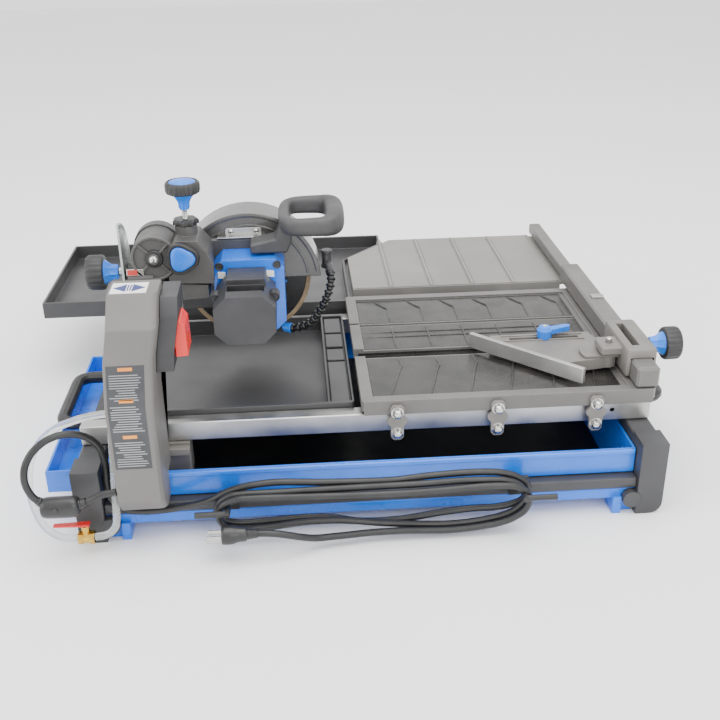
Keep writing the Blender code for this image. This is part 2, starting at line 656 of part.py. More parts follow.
def guide_face():
    """Aluminium strip on the arm, set at forty-five degrees to the cut."""
    (ax, ay), (bx, by) = FACE_ENDS
    ahead = Vector((bx - ax, by - ay)).normalized()
    aside = Vector((ahead.y, -ahead.x)) * 0.0070
    outline = [(ax, ay), (bx, by), (bx + aside.x, by + aside.y), (ax + aside.x, ay + aside.y)]
    return place(prism(outline, 2, (0.1500, 0.1710)), "guide_face", "metal", (*GUIDE_PIVOT, 0.1605))


def guide_lever():
    """Blue clamp lever on top of the arm's slot."""
    x, y = 0.2480, 0.1860
    boss = turned([(0.0, 0.1663), (0.0095, 0.1663), (0.0105, 0.1780), (0.0070, 0.1830), (0.0, 0.1840)], 2,
                  (x, y), 20)
    blade = prism([(x + 0.002, y - 0.006), (x + 0.0360, y + 0.0060), (x + 0.0380, y + 0.0120),
                   (x + 0.0300, y + 0.0140), (x, y + 0.006)], 2, (0.1720, 0.1790))
    return place(fuse(boss, blade), "guide_lever", "blue", (x, y, 0.1750))


def grip_knob(name, axis, centre, start, sign, sizes):
    """Knob on a screw: a waisted hub, a grip and the screw's own length in one solid piece."""
    hub, throat, hub_length, grip, grip_length, screw, screw_length = sizes
    end = hub_length + grip_length
    profile = [(0.0, -screw_length), (screw, -screw_length), (screw, 0.0), (hub, 0.0),
               (min(hub, throat) * 0.85, hub_length * 0.4), (throat, hub_length),
               (grip * 0.96, hub_length + 0.0005), (grip, hub_length + 0.003), (grip, end - 0.004),
               (grip * 0.80, end), (0.0, end)]
    solid = turned([(r, start + sign * a) for r, a in profile], axis, centre)
    pivot = list(centre)
    pivot.insert(axis, start)
    return place(solid, name, "black", tuple(pivot), smooth=True)


# ---------------------------------------------------------------- cutting head
def bevel_plate():
    """Fixed scale plate with the bevel pin that the head tilts on."""
    arc = [(BEVEL_Y - 0.0300 + 0.0600 * math.sin(a), BEVEL_Z + 0.0140 + 0.0600 * math.cos(a))
           for a in (math.pi / 2 * k / 8 for k in range(9))]
    outline = [(BEVEL_Y - 0.0900, 0.2240)] + [(BEVEL_Y - 0.0900, 0.2540), (BEVEL_Y - 0.0300, 0.2540)]
    outline += arc + [(BEVEL_Y + 0.0300, 0.2240)]
    plate = prism(outline, 0, (PLATE_X - 0.0035, PLATE_X - GAP))
    pin = rod((PLATE_X - 0.0120, BEVEL_Y, BEVEL_Z), (PLUNGE_X + 0.0100, BEVEL_Y, BEVEL_Z), PIN_RADIUS)
    return place(fuse(plate, pin), "bevel_plate", "metal")


DRUM_FRONT, DRUM_SPLIT, DRUM_BACK = 0.2000, 0.2440, 0.2610
DEPTH_SCREW = (-0.2260, 0.2300)
JAM_LOW = 0.3310
LOCK_X, LOCK_Z = -0.2300, 0.2985


def tilt_bracket():
    """Casting that tilts on the bevel pin: sleeve, front drum and the leg under the depth screw."""
    sleeve = rod((PLATE_X + 0.0010, BEVEL_Y, BEVEL_Z), (PLUNGE_X, BEVEL_Y, BEVEL_Z), 0.0110, 20)
    sleeve_block = block((PLATE_X + 0.0110, PLUNGE_X), (DRUM_FRONT + 0.004, DRUM_SPLIT - 0.0010),
                         (BEVEL_Z - 0.0110, BEVEL_Z + 0.0080))
    drum = turned([(0.0, DRUM_FRONT), (DRUM_RADIUS, DRUM_FRONT), (DRUM_RADIUS, DRUM_SPLIT),
                   (0.0, DRUM_SPLIT)],
                  1, (PLUNGE_X, PLUNGE_Z), 32)
    leg = prism([(PLUNGE_X - 0.012, 0.2720), (-0.2470, 0.2590), (-0.2010, 0.2560), (-0.2010, 0.2380),
                 (-0.2460, 0.2360), (PLUNGE_X - 0.012, 0.2500)],
                 1, (DRUM_FRONT + 0.0010, DRUM_SPLIT - 0.0010))
    bracket = fuse(drum, leg, sleeve_block, sleeve)
    pin_bore = rod((PLATE_X - 0.01, BEVEL_Y, BEVEL_Z), (PLUNGE_X + 0.0105, BEVEL_Y, BEVEL_Z),
                   PIN_RADIUS + GAP)
    swing = turned([(0.0, DRUM_SPLIT + GAP), (DRUM_RADIUS + 0.0025, DRUM_SPLIT + GAP),
                    (DRUM_RADIUS + 0.0025, DRUM_BACK + 0.002), (0.0, DRUM_BACK + 0.002)], 1,
                   (PLUNGE_X, PLUNGE_Z), 32)
    bolt_hole = rod((PLUNGE_X, DRUM_FRONT - 0.01, PLUNGE_Z), (PLUNGE_X, DRUM_BACK + 0.01, PLUNGE_Z), 0.0052)
    guard_way = turned([(0.0, GUARD_FRONT - 0.018), (GUARD_RADIUS + 0.002, GUARD_FRONT - 0.018),
                        (GUARD_RADIUS + 0.002, 0.31), (0.0, 0.31)], 1, (GUARD_X, BLADE_Z), 48)
    return place(cut(bracket, swing, pin_bore, bolt_hole, guard_way), "tilt_bracket", "cast",
                 (PLATE_X, BEVEL_Y, BEVEL_Z))


def head_arm():
    """Plunging casting: rear drum, pivot bolt, depth-screw boss and the plate the motor bolts to."""
    drum = turned([(0.0, DRUM_SPLIT + 2 * GAP), (DRUM_RADIUS + 0.002, DRUM_SPLIT + 2 * GAP),
                   (DRUM_RADIUS + 0.002, DRUM_BACK), (0.0, DRUM_BACK)], 1, (PLUNGE_X, PLUNGE_Z), 32)
    bolt = turned([(0.0, DRUM_FRONT - 0.0080), (0.0060, DRUM_FRONT - 0.0080), (0.0090, DRUM_FRONT - 0.0020),
                   (0.0090, DRUM_FRONT - GAP), (0.0048, DRUM_FRONT - GAP), (0.0048, DRUM_BACK - 0.002),
                   (0.0, DRUM_BACK - 0.002)], 1, (PLUNGE_X, PLUNGE_Z), 20)
    boss = prism([(-0.2500, 0.2620), (-0.2500, 0.3080), (-0.2380, 0.3190), (-0.2110, 0.3180),
                  (-0.2000, 0.3040), (-0.1920, 0.2870), (-0.1930, 0.2600)],
                  1, (DRUM_FRONT - 0.0040, DRUM_BACK - 0.001))
    collar = rod((*DEPTH_SCREW, 0.3150), (*DEPTH_SCREW, JAM_LOW - GAP), 0.0145, 20)
    drum_way = turned([(0.0, 0.18), (DRUM_RADIUS + CLEAR, 0.18), (DRUM_RADIUS + CLEAR, DRUM_SPLIT + 2 * GAP),
                       (0.0, DRUM_SPLIT + 2 * GAP)], 1, (PLUNGE_X, PLUNGE_Z), 32)
    housing_way = block((HOUSING_X[0] - 2 * GAP, -0.18), (CAP_BACK, 0.2700), (0.1700, 0.3300))
    boss = cut(fuse(boss, collar), drum_way, housing_way)
    bridge = block((PLUNGE_X + 0.001, -0.2100), (DRUM_SPLIT + 0.0030, DRUM_BACK - 0.0005), (0.2680, 0.3145))
    plate = block((-0.2460, -0.1010), (HOUSING_BACK + 0.0005, GUARD_FRONT - GAP), (0.1980, 0.2980), 0.002)
    link = block((-0.2440, -0.1990), (0.2500, GUARD_FRONT - 0.001), (0.2610, 0.2960))
    arm = fuse(drum, bolt, bridge, boss, link, plate)
    spindle_hole = rod((BLADE_X, 0.25, BLADE_Z), (BLADE_X, 0.28, BLADE_Z), 0.0100)
    screw_hole = rod((*DEPTH_SCREW, 0.2400), (*DEPTH_SCREW, 0.3400), 0.0042)
    lock_hole = rod((LOCK_X, 0.1800, LOCK_Z), (LOCK_X, 0.2080, LOCK_Z), 0.0042)
    return place(cut(arm, spindle_hole, screw_hole, lock_hole), "head_arm", "cast",
                 (PLUNGE_X, BLADE_Y, PLUNGE_Z))


def lock_knob():
    """Three-sided blue knob on the front of the head."""
    x, y, z = LOCK_X, DRUM_FRONT - 0.0040 - GAP, LOCK_Z
    outline = []
    for k in range(24):
        angle = 2 * math.pi * k / 24
        reach = 0.0175 + 0.0020 * math.cos(3 * angle)
        outline.append((x + reach * math.cos(angle), z + reach * math.sin(angle)))
    face = prism(outline, 1, (y - 0.0120, y))
    screw = rod((x, y - 0.002, z), (x, y + 0.0080, z), 0.0038)
    return place(fuse(face, screw), "lock_knob", "blue", (x, y, z))


def jam_knob():
    """Black star nut under the depth knob."""
    x, y = DEPTH_SCREW
    outline = []
    for k in range(28):
        angle = 2 * math.pi * k / 28
        reach = 0.0160 + 0.0012 * math.cos(7 * angle)
        outline.append((x + reach * math.cos(angle), y + reach * math.sin(angle)))
    star = prism(outline, 2, (JAM_LOW, JAM_LOW + 0.0080))
    hole = rod((x, y, JAM_LOW - 0.01), (x, y, JAM_LOW + 0.02), 0.0042)
    return place(cut(star, hole), "jam_knob", "black", (x, y, JAM_LOW))


def blade_guard():
    """Half drum over the blade, open below, with a hole for the spindle."""
    low = BLADE_Z + GUARD_LOW

    def half_disc(radius, floor):
        start = math.asin((floor - BLADE_Z) / radius)
        return [(GUARD_X + radius * math.cos(a), BLADE_Z + radius * math.sin(a))
                for a in (start + (math.pi - 2 * start) * k / 24 for k in range(25))]

    shell = prism(half_disc(GUARD_RADIUS, low), 1, (GUARD_FRONT, GUARD_BACK))
    inside = prism(half_disc(GUARD_RADIUS - WALL, low - 0.01), 1, (GUARD_FRONT + WALL, GUARD_BACK - WALL))
    notch = rod((BLADE_X, GUARD_FRONT - 0.01, BLADE_Z), (BLADE_X, GUARD_FRONT + 0.01, BLADE_Z), 0.0130)
    return place(cut(shell, inside, notch), "blade_guard", "grey", (PLUNGE_X, BLADE_Y, PLUNGE_Z))


def motor_section(left, right, high, low, corner):
    """Eight-cornered (x, z) outline, its top and bottom measured from the motor's axis."""
    top, bottom = BLADE_Z + high, BLADE_Z - low
    return [(left, top - corner), (left + corner, top), (right - corner, top), (right, top - corner),
            (right, bottom + corner), (right - corner, bottom), (left + corner, bottom),
            (left, bottom + corner)]


def motor_housing():
    """Blue frame of the motor, open towards the cap."""
    body = prism(motor_section(*HOUSING_X, 0.0530, 0.0480, 0.012), 1, (CAP_BACK + GAP, HOUSING_BACK))
    bore = rod((BLADE_X, CAP_BACK - 0.01, BLADE_Z), (BLADE_X, HOUSING_BACK - 0.008, BLADE_Z), 0.0340, 32)
    shaft_hole = rod((BLADE_X, 0.2, BLADE_Z), (BLADE_X, 0.28, BLADE_Z), 0.0080)
    return place(cut(body, bore, shaft_hole), "motor_housing", "blue", (PLUNGE_X, BLADE_Y, PLUNGE_Z))


def motor_cap():
    """Moulded cover over the armature, with a raised crown and an air vent in front of it."""
    left, right = CAP_X
    body = prism(motor_section(left, right, 0.0360, 0.0290, 0.0160), 1, (MOTOR_FACE_Y, CAP_BACK))
    crown = prism([(left + 0.0130, BLADE_Z + 0.02), (left + 0.0160, BLADE_Z + 0.0430),
                   (right - 0.0130, BLADE_Z + 0.0430), (right - 0.0100, BLADE_Z + 0.02)], 1,
                  (MOTOR_FACE_Y + 0.043, CAP_BACK - 0.0001))
    bore = rod((BLADE_X, MOTOR_FACE_Y + 0.006, BLADE_Z), (BLADE_X, CAP_BACK + 0.01, BLADE_Z), 0.0255, 32)
    vent = block((left + 0.0170, right - 0.0140), (MOTOR_FACE_Y + 0.022, MOTOR_FACE_Y + 0.042),
                 (BLADE_Z + 0.0200, BLADE_Z + 0.06))
    return place(cut(fuse(body, crown), bore, vent), "motor_cap", "black", (PLUNGE_X, BLADE_Y, PLUNGE_Z))


def spindle():
    """Armature and shaft in one turned piece, with the inner blade flange."""
    start, inner = MOTOR_FACE_Y + 0.010, BLADE_Y - BLADE_THICK / 2 - GAP
    profile = [(0.0, start), (0.0050, start), (0.0050, start + 0.018), (0.0120, start + 0.018),
               (0.0120, start + 0.030), (0.0060, start + 0.031), (0.0060, start + 0.036),
               (ARMATURE_RADIUS, start + 0.037), (ARMATURE_RADIUS, start + 0.092), (0.0070, start + 0.093),
               (0.0070, inner - 0.006), (0.0110, inner - 0.005),
               (0.0200, inner - 0.003), (0.0200, inner), (BLADE_BORE - 2 * GAP, inner),
               (BLADE_BORE - 2 * GAP, BLADE_Y + 0.0180), (0.0, BLADE_Y + 0.0180)]
    return place(turned(profile, 1, (BLADE_X, BLADE_Z), 24), "spindle", "metal",
                 (BLADE_X, BLADE_Y, BLADE_Z), smooth=True)


def cutting_blade():
    """Continuous-rim diamond disc with its arbor bore."""
    half = BLADE_THICK / 2
    core = half - 0.0003
    rim = BLADE_RADIUS - 0.006
    profile = [(BLADE_BORE, BLADE_Y - core), (rim - 0.001, BLADE_Y - core), (rim, BLADE_Y - half),
               (BLADE_RADIUS, BLADE_Y - half), (BLADE_RADIUS, BLADE_Y + half), (rim, BLADE_Y + half),
               (rim - 0.001, BLADE_Y + core), (BLADE_BORE, BLADE_Y + core)]
    return place(turned(profile, 1, (BLADE_X, BLADE_Z), 48, hollow=True), "cutting_blade", "metal",
                 (BLADE_X, BLADE_Y, BLADE_Z), smooth=True)


def flange_nut():
    """Outer blade flange with its hexagon nut."""
    start = BLADE_Y + BLADE_THICK / 2
    flange = turned([(BLADE_BORE, start), (0.0200, start), (0.0200, start + 0.002), (0.0130, start + 0.005),
                     (BLADE_BORE, start + 0.005)], 1, (BLADE_X, BLADE_Z), 24, hollow=True)
    nut = turned([(BLADE_BORE, start + 0.004), (0.0125, start + 0.004), (0.0125, start + 0.014),
                  (BLADE_BORE, start + 0.014)], 1, (BLADE_X, BLADE_Z), 6, hollow=True)
    bore = rod((BLADE_X, start - 0.01, BLADE_Z), (BLADE_X, start + 0.03, BLADE_Z), BLADE_BORE, 24)
    return place(cut(fuse(flange, nut), bore), "flange_nut", "metal", (BLADE_X, BLADE_Y, BLADE_Z))


def handle_grip():
    """Horizontal D handle beside the guard, sloping up to the back, on a neck above the motor."""
    x, y, low, tall = (-0.1050, -0.0230), (0.2050, 0.3010), BLADE_Z + 0.0820, 0.0250
    loop = block(x, y, (low, low + tall), 0.008, 3, 2)
    eye = block((-0.0910, -0.0530), (0.2200, 0.2850), (low - 0.02, low + tall + 0.02), 0.005, 2, 2)
    loop = cut(loop, eye)
    lift = 0.085
    for vert in loop.data.vertices:
        vert.co.z += (vert.co.y - y[0]) * lift
    foot, step, top = BLADE_Z + 0.0560, BLADE_Z + 0.0690, BLADE_Z + 0.0930
    neck = prism([(-0.1450, foot), (-0.0960, foot), (-0.0920, step), (-0.0920, top), (-0.1040, top),
                  (-0.1100, step + 0.0060), (-0.1450, step)], 1, (0.2260, HOUSING_BACK + 0.0002))
    guard_way = turned([(0.0, GUARD_FRONT - GAP), (GUARD_RADIUS + GAP, GUARD_FRONT - GAP),
                        (GUARD_RADIUS + GAP, 0.3400), (0.0, 0.3400)], 1, (GUARD_X, BLADE_Z), 64)
    return place(cut(fuse(loop, neck), guard_way), "handle_grip", "black", (PLUNGE_X, BLADE_Y, PLUNGE_Z))


NOZZLE_ROUTE = [(-0.0383, 0.2725, 0.2413), (-0.0373, 0.2644, 0.2370), (-0.0400, 0.2560, 0.2240),
                (-0.0460, 0.2540, 0.2080), (-0.0560, 0.2560, 0.1880), (-0.0700, 0.2600, 0.1700),
                (-0.0900, 0.2680, 0.1600), (-0.1020, 0.2735, 0.1592), (-0.1080, 0.2760, 0.1592)]


def nozzle_hose():
    """Tee on the guard's right side with its segmented hose, which holds its shape, to the blade's front."""
    edge = GUARD_X + GUARD_RADIUS
    tee = block((edge + CLEAR, edge + 0.0170), (0.2780, 0.3020), (0.2420, 0.2680), 0.003)
    elbow = rod((edge + 0.0110, 0.2850, 0.2480), (edge + 0.0130, 0.2700, 0.2400), 0.0060, 12)
    hose = pipe(smooth_route(NOZZLE_ROUTE, 16), 0.0050)
    return place(fuse(hose, elbow, tee), "nozzle_hose", "black", (PLUNGE_X, BLADE_Y, PLUNGE_Z), smooth=True)


# ---------------------------------------------------------------- water supply
def water_pump():
    body = block((-0.1500, -0.0900), (0.4700, 0.5300), (TUB_FLOOR + WALL + GAP, 0.0600), 0.006, 2)
    outlet = rod((-0.1200, 0.5000, 0.0550), (-0.1200, 0.5000, 0.0780), 0.0060, 12)
    return place(fuse(body, outlet), "water_pump", "dark")


VALVE_STUB = 0.0170
VALVE = (-0.3500, -0.0200, 0.0235)


def valve_body():
    x, y, z = VALVE
    barrel = rod((x + 0.0100, y, z), (x - 0.0090, y, z), 0.0070, 12)
    stub = rod((x, y, z), (x, y, z + VALVE_STUB), 0.0050, 12)
    return place(fuse(barrel, stub), "valve_body", "brass")


def valve_lever():
    x, y, z = VALVE
    top = z + VALVE_STUB + GAP
    lever = prism([(x + 0.006, y - 0.005), (x + 0.006, y + 0.005), (x - 0.0370, y + 0.0030),
                   (x - 0.0370, y - 0.0030)], 2, (top, top + 0.0030))
    return place(lever, "valve_lever", "red", (x, y, top))


# ---------------------------------------------------------------- cords and hoses
def cord(name, route, radius, colour, count):
    """Closed round tube on a smooth curve through the route's points."""
    curve = bpy.data.curves.new(name, "CURVE")
    curve.dimensions = "3D"
    curve.bevel_depth = radius
    curve.bevel_resolution = 2
    curve.use_fill_caps = True
    points = smooth_route(route, count)
    spline = curve.splines.new("POLY")
    spline.points.add(len(points) - 1)
    for point, target in zip(spline.points, points):
        point.co = (*target, 1.0)
    curve.materials.append(material(name, *COLOURS[colour]))
    obj = bpy.data.objects.new(name, curve)
    bpy.context.collection.objects.link(obj)
    obj.parent = origin
    return obj


GFCI = (-0.3720, -0.0300, 0.0750)
HANK_Y = (-0.0325, -0.0060)
HANK_LEFT, HANK_RIGHT = -0.1960, 0.1930
HANK_LOW, HANK_TOP = 0.0060, 0.0860
PLUG = (-0.1560, -0.0500, 0.0370)


def gfci_box():
    x, y, z = GFCI
    box = block((x - 0.0230, x + 0.0230), (y - 0.0120, y + 0.0120), (z - 0.0130, z + 0.0130), 0.003)
    left = rod((x - 0.0150, y, z + 0.0015), (x - 0.0233, y, z + 0.0093), 0.0058, 14)
    right = rod((x + 0.0180, y, z + 0.0005), (x + 0.0270, y, z + 0.0042), 0.0060, 14)
    return place(fuse(box, left, right), "gfci_box", "black")


def stadium(x0, x1, z0, z1, steps=8):
    """Outline with round ends: (x, z) points."""
    radius, middle = (z1 - z0) / 2, (z0 + z1) / 2
    right = [(x1 - radius + radius * math.cos(a), middle + radius * math.sin(a))
             for a in (-math.pi / 2 + math.pi * k / steps for k in range(steps + 1))]
    left = [(x0 + radius - radius * math.cos(a), middle - radius * math.sin(a))
            for a in (-math.pi / 2 + math.pi * k / steps for k in range(steps + 1))]
    return right + left


def cord_hank():
    """Outer shape of the turns of cord that hang on the two hooks."""
    ring = prism(stadium(HANK_LEFT, HANK_RIGHT, HANK_LOW, HANK_TOP), 1, HANK_Y)
    middle = block((HANK_LEFT + 0.0105, HANK_RIGHT - 0.0095), (HANK_Y[0] - 0.01, HANK_Y[1] + 0.01),
                   (HANK_LOW + 0.0260, HANK_TOP - 0.0180), 0.0040, 2, 1)
    return place(cut(ring, middle), "cord_hank", "black")


def power_plug():
    """Moulded plug with two blades and a round earth pin, lying in front of the hank."""
    x, y, z = PLUG
    body = rod((x, y, z), (x - 0.0300, y, z), 0.0115, 16)
    relief = rod((x + 0.0120, y, z), (x - 0.001, y, z), 0.0070, 12)
    blades = [block((x - 0.0470, x - 0.0290), (y + dy - 0.0008, y + dy + 0.0008),
                    (z - 0.0032, z + 0.0032)) for dy in (-0.0063, 0.0063)]
    earth = rod((x - 0.0290, y, z - 0.0080), (x - 0.0500, y, z - 0.0080), 0.0024, 10)
    return place(fuse(body, relief, *blades, earth), "power_plug", "black")


GFCI_LEAD = [(-0.3446, -0.0300, 0.0792), (-0.3400, -0.0300, 0.0812), (-0.3310, -0.0292, 0.0850),
             (-0.3210, -0.0280, 0.0883), (-0.3120, -0.0270, 0.0900), (-0.3061, -0.0270, 0.0900)]
SUPPLY_ROUTE = [(-0.3957, -0.0300, 0.0847), (-0.3993, -0.0300, 0.0884), (-0.4055, -0.0295, 0.1000),
                (-0.4078, -0.0270, 0.1181), (-0.4024, -0.0220, 0.1354), (-0.3901, -0.0150, 0.1488),
                (-0.3733, -0.0070, 0.1558), (-0.3551, 0.0000, 0.1550), (-0.3390, 0.0060, 0.1466),
                (-0.3279, 0.0100, 0.1321), (-0.3240, 0.0120, 0.1144), (-0.3235, 0.0120, 0.0960),
                (-0.3235, 0.0095, 0.0785), (-0.3214, 0.0050, 0.0665), (-0.3153, 0.0010, 0.0560),
                (-0.3060, 0.0000, 0.0482), (-0.2885, 0.0000, 0.0435), (-0.2600, -0.0010, 0.0440),
                (-0.2300, -0.0045, 0.0500), (-0.2040, -0.0100, 0.0590), (-0.1975, -0.0106, 0.0612)]
PLUG_ROUTE = [(-0.1437, -0.0500, 0.0370), (-0.1380, -0.0500, 0.0370), (-0.1180, -0.0495, 0.0340),
              (-0.0960, -0.0465, 0.0265), (-0.0780, -0.0410, 0.0190), (-0.0700, -0.0376, 0.0170)]
HOSE_ROUTE = [(-0.3397, -0.0200, 0.0235), (-0.3357, -0.0200, 0.0235), (-0.3237, -0.0200, 0.0267),
              (-0.3149, -0.0200, 0.0355), (-0.3117, -0.0195, 0.0475), (-0.3112, -0.0160, 0.0650),
              (-0.3118, -0.0060, 0.0850), (-0.3125, 0.0060, 0.1050), (-0.3125, 0.0140, 0.1300),
              (-0.3125, 0.0300, 0.1550), (-0.3118, 0.0500, 0.1800), (-0.3050, 0.0605, 0.2000),
              (-0.3020, 0.0620, 0.2130), (-0.3020, 0.0620, 0.2216)]
RETURN_ROUTE = [(-0.3593, -0.0200, 0.0235), (-0.3650, -0.0200, 0.0235), (-0.3800, -0.0195, 0.0255),
                (-0.3980, -0.0160, 0.0390), (-0.4085, -0.0100, 0.0650), (-0.4110, -0.0030, 0.0950),
                (-0.4020, 0.0040, 0.1300), (-0.3800, 0.0100, 0.1540), (-0.3500, 0.0130, 0.1660),
                (-0.3260, 0.0140, 0.1710), (-0.3130, 0.0140, 0.1720), (-0.3061, 0.0140, 0.1720)]


# ---------------------------------------------------------------- build
water_tub()
side_frame("left_side_frame", -1)
side_frame("right_side_frame", 1)
front_lower_bar()
foot_rail("front_foot_rail", (0.0105, 0.0340), (0.0030, 0.0200))
foot_rail("rear_foot_rail", (FRAME_DEPTH - 0.0300, FRAME_DEPTH - 0.0065), (FRAME_DEPTH - 0.0200, FRAME_DEPTH))
carry_handle("left_carry_handle", -1)
carry_handle("right_carry_handle", 1)
cord_hook("left_cord_hook", -1)
cord_hook("right_cord_hook", 1)
rail("front_rail", FRONT_RAIL_Y)
rail("rear_rail", REAR_RAIL_Y)
column_cover()
column_post()
switch_box()
switch_paddle()
centre_tray()
rear_tray()
extension_table()
extension_support()
table_casting()
for number, bracket_x in enumerate(BRACKET_X, 1):
    front_bracket(number, bracket_x, number != 2)
for number, roller_x in ((1, BRACKET_X[0]), (2, BRACKET_X[2])):
    roller(f"front_roller_{number}", roller_x, (FRONT_RAIL_Y + 0.0010, FRONT_RAIL_Y + RAIL_DEPTH - 0.0020))
    roller(f"rear_roller_{number}", roller_x, (REAR_RAIL_Y + 0.0020, REAR_RAIL_Y + RAIL_DEPTH))
fence_bar()
guide_carriage()
guide_arm()
guide_face()
guide_lever()
grip_knob("fence_knob", 0, (0.1230, 0.1800), FENCE_X + FENCE_WIDTH + 0.0050 + GAP, 1,
          (0.0090, 0.0150, 0.0180, 0.0218, 0.0210, 0.0035, 0.0))
bevel_plate()
tilt_bracket()
grip_knob("bevel_knob", 0, (BEVEL_Y, BEVEL_Z), PLATE_X - 0.0125, -1,
          (0.0100, 0.0165, 0.0180, 0.0235, 0.0230, 0.0035, 0.0))
head_arm()
lock_knob()
jam_knob()
grip_knob("depth_knob", 2, DEPTH_SCREW, 0.3510, 1, (0.0060, 0.0074, 0.0220, 0.0226, 0.0150, 0.0038, 0.0929))
blade_guard()
motor_housing()
motor_cap()
spindle()
cutting_blade()
flange_nut()
handle_grip()
nozzle_hose()
water_pump()
valve_body()
valve_lever()
gfci_box()
cord_hank()
power_plug()
cord("gfci_lead", GFCI_LEAD, CORD_RADIUS, "black", 5)
cord("supply_cord", SUPPLY_ROUTE, CORD_RADIUS, "black", 28)
cord("plug_lead", PLUG_ROUTE, CORD_RADIUS, "black", 7)
cord("water_hose", HOSE_ROUTE, HOSE_RADIUS, "clear", 20)
cord("return_hose", RETURN_ROUTE, HOSE_RADIUS, "clear", 22)
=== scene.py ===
"""Looks of the wet tile cutter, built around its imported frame."""
import json
import math

import bmesh
import bpy
import numpy as np
from mathutils import Matrix, Vector

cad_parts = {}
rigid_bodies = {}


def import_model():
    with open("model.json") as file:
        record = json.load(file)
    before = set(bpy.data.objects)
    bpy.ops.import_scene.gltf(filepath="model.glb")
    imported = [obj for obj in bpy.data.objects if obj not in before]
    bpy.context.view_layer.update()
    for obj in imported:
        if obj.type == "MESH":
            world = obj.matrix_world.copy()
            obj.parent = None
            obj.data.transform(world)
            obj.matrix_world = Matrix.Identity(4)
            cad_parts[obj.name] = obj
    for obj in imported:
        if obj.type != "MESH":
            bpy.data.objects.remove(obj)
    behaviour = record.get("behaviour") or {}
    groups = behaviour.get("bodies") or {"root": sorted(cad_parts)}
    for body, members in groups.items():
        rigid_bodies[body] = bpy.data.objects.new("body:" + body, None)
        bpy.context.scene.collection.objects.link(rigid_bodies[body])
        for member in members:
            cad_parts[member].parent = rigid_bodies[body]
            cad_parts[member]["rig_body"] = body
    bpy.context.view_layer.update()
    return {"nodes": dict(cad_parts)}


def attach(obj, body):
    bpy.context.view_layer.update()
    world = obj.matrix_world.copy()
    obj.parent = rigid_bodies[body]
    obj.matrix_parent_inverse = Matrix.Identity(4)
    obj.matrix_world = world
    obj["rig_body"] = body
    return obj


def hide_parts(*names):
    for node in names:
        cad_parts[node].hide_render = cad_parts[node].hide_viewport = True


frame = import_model()

# ---------------------------------------------------------------- camera
# Stands in front of the machine and a little to its left, above the table, looking down.
EYE = Vector((-0.0438, -1.3492, 0.7200))
YAW, PITCH, ROLL = math.radians(3.70), math.radians(25.73), math.radians(-0.92)
ahead = Vector((math.sin(YAW) * math.cos(PITCH), math.cos(YAW) * math.cos(PITCH), -math.sin(PITCH)))
level = Vector((math.cos(YAW), -math.sin(YAW), 0.0))
over = level.cross(ahead)
right = level * math.cos(ROLL) + over * math.sin(ROLL)
up = over * math.cos(ROLL) - level * math.sin(ROLL)
camera_data = bpy.data.cameras.new("camera")
camera_data.lens, camera_data.sensor_width = 48.76, 36.0
camera = bpy.data.objects.new("camera", camera_data)
bpy.context.scene.collection.objects.link(camera)
camera.matrix_world = Matrix([(*row, place) for row, place in zip(zip(right, up, -ahead), EYE)]
                             + [(0, 0, 0, 1)])
bpy.context.scene.camera = camera

# ---------------------------------------------------------------- mains cord and water hose
# One flexible rubber mains cord leaves the column's left side, goes through its safety box, climbs
# over the side of the machine, and hangs in three turns on two hooks before it ends in its plug.
# Two clear hoses leave the drain valve: one goes up the back of the column, the other loops round
# outside the cord and enters the column's left side.  Places in this file are measured from the
# middle of the machine's front edge; ZERO is where that is in the frame.
ZERO = np.array((0.0374, -0.3433, 0.0))
CORD_THICK, HOSE_THICK = 0.0087, 0.0090
CORD_STEPS, HOSE_STEPS, SIDE_HOSE_STEPS = 150, 30, 28


def linear(sheen):
    """sRGB hex to linear colour: a straight foot below 0.04045, a 2.4 power above it."""
    parts = np.array([int(sheen[i:i + 2], 16) for i in (0, 2, 4)]) / 255
    return (*np.where(parts <= 0.04045, parts / 12.92, ((parts + 0.055) / 1.055) ** 2.4).tolist(), 1.0)


def add(tree, kind, inputs=(), **settings):
    """Adds one shader node: settings are its own, inputs are values or the sockets that feed them."""
    node = tree.nodes.new("ShaderNode" + kind)
    for key, value in settings.items():
        setattr(node, key, value)
    for key, value in dict(inputs).items():
        if isinstance(value, bpy.types.NodeSocket):
            tree.links.new(value, node.inputs[key])
        else:
            node.inputs[key].default_value = value
    return node


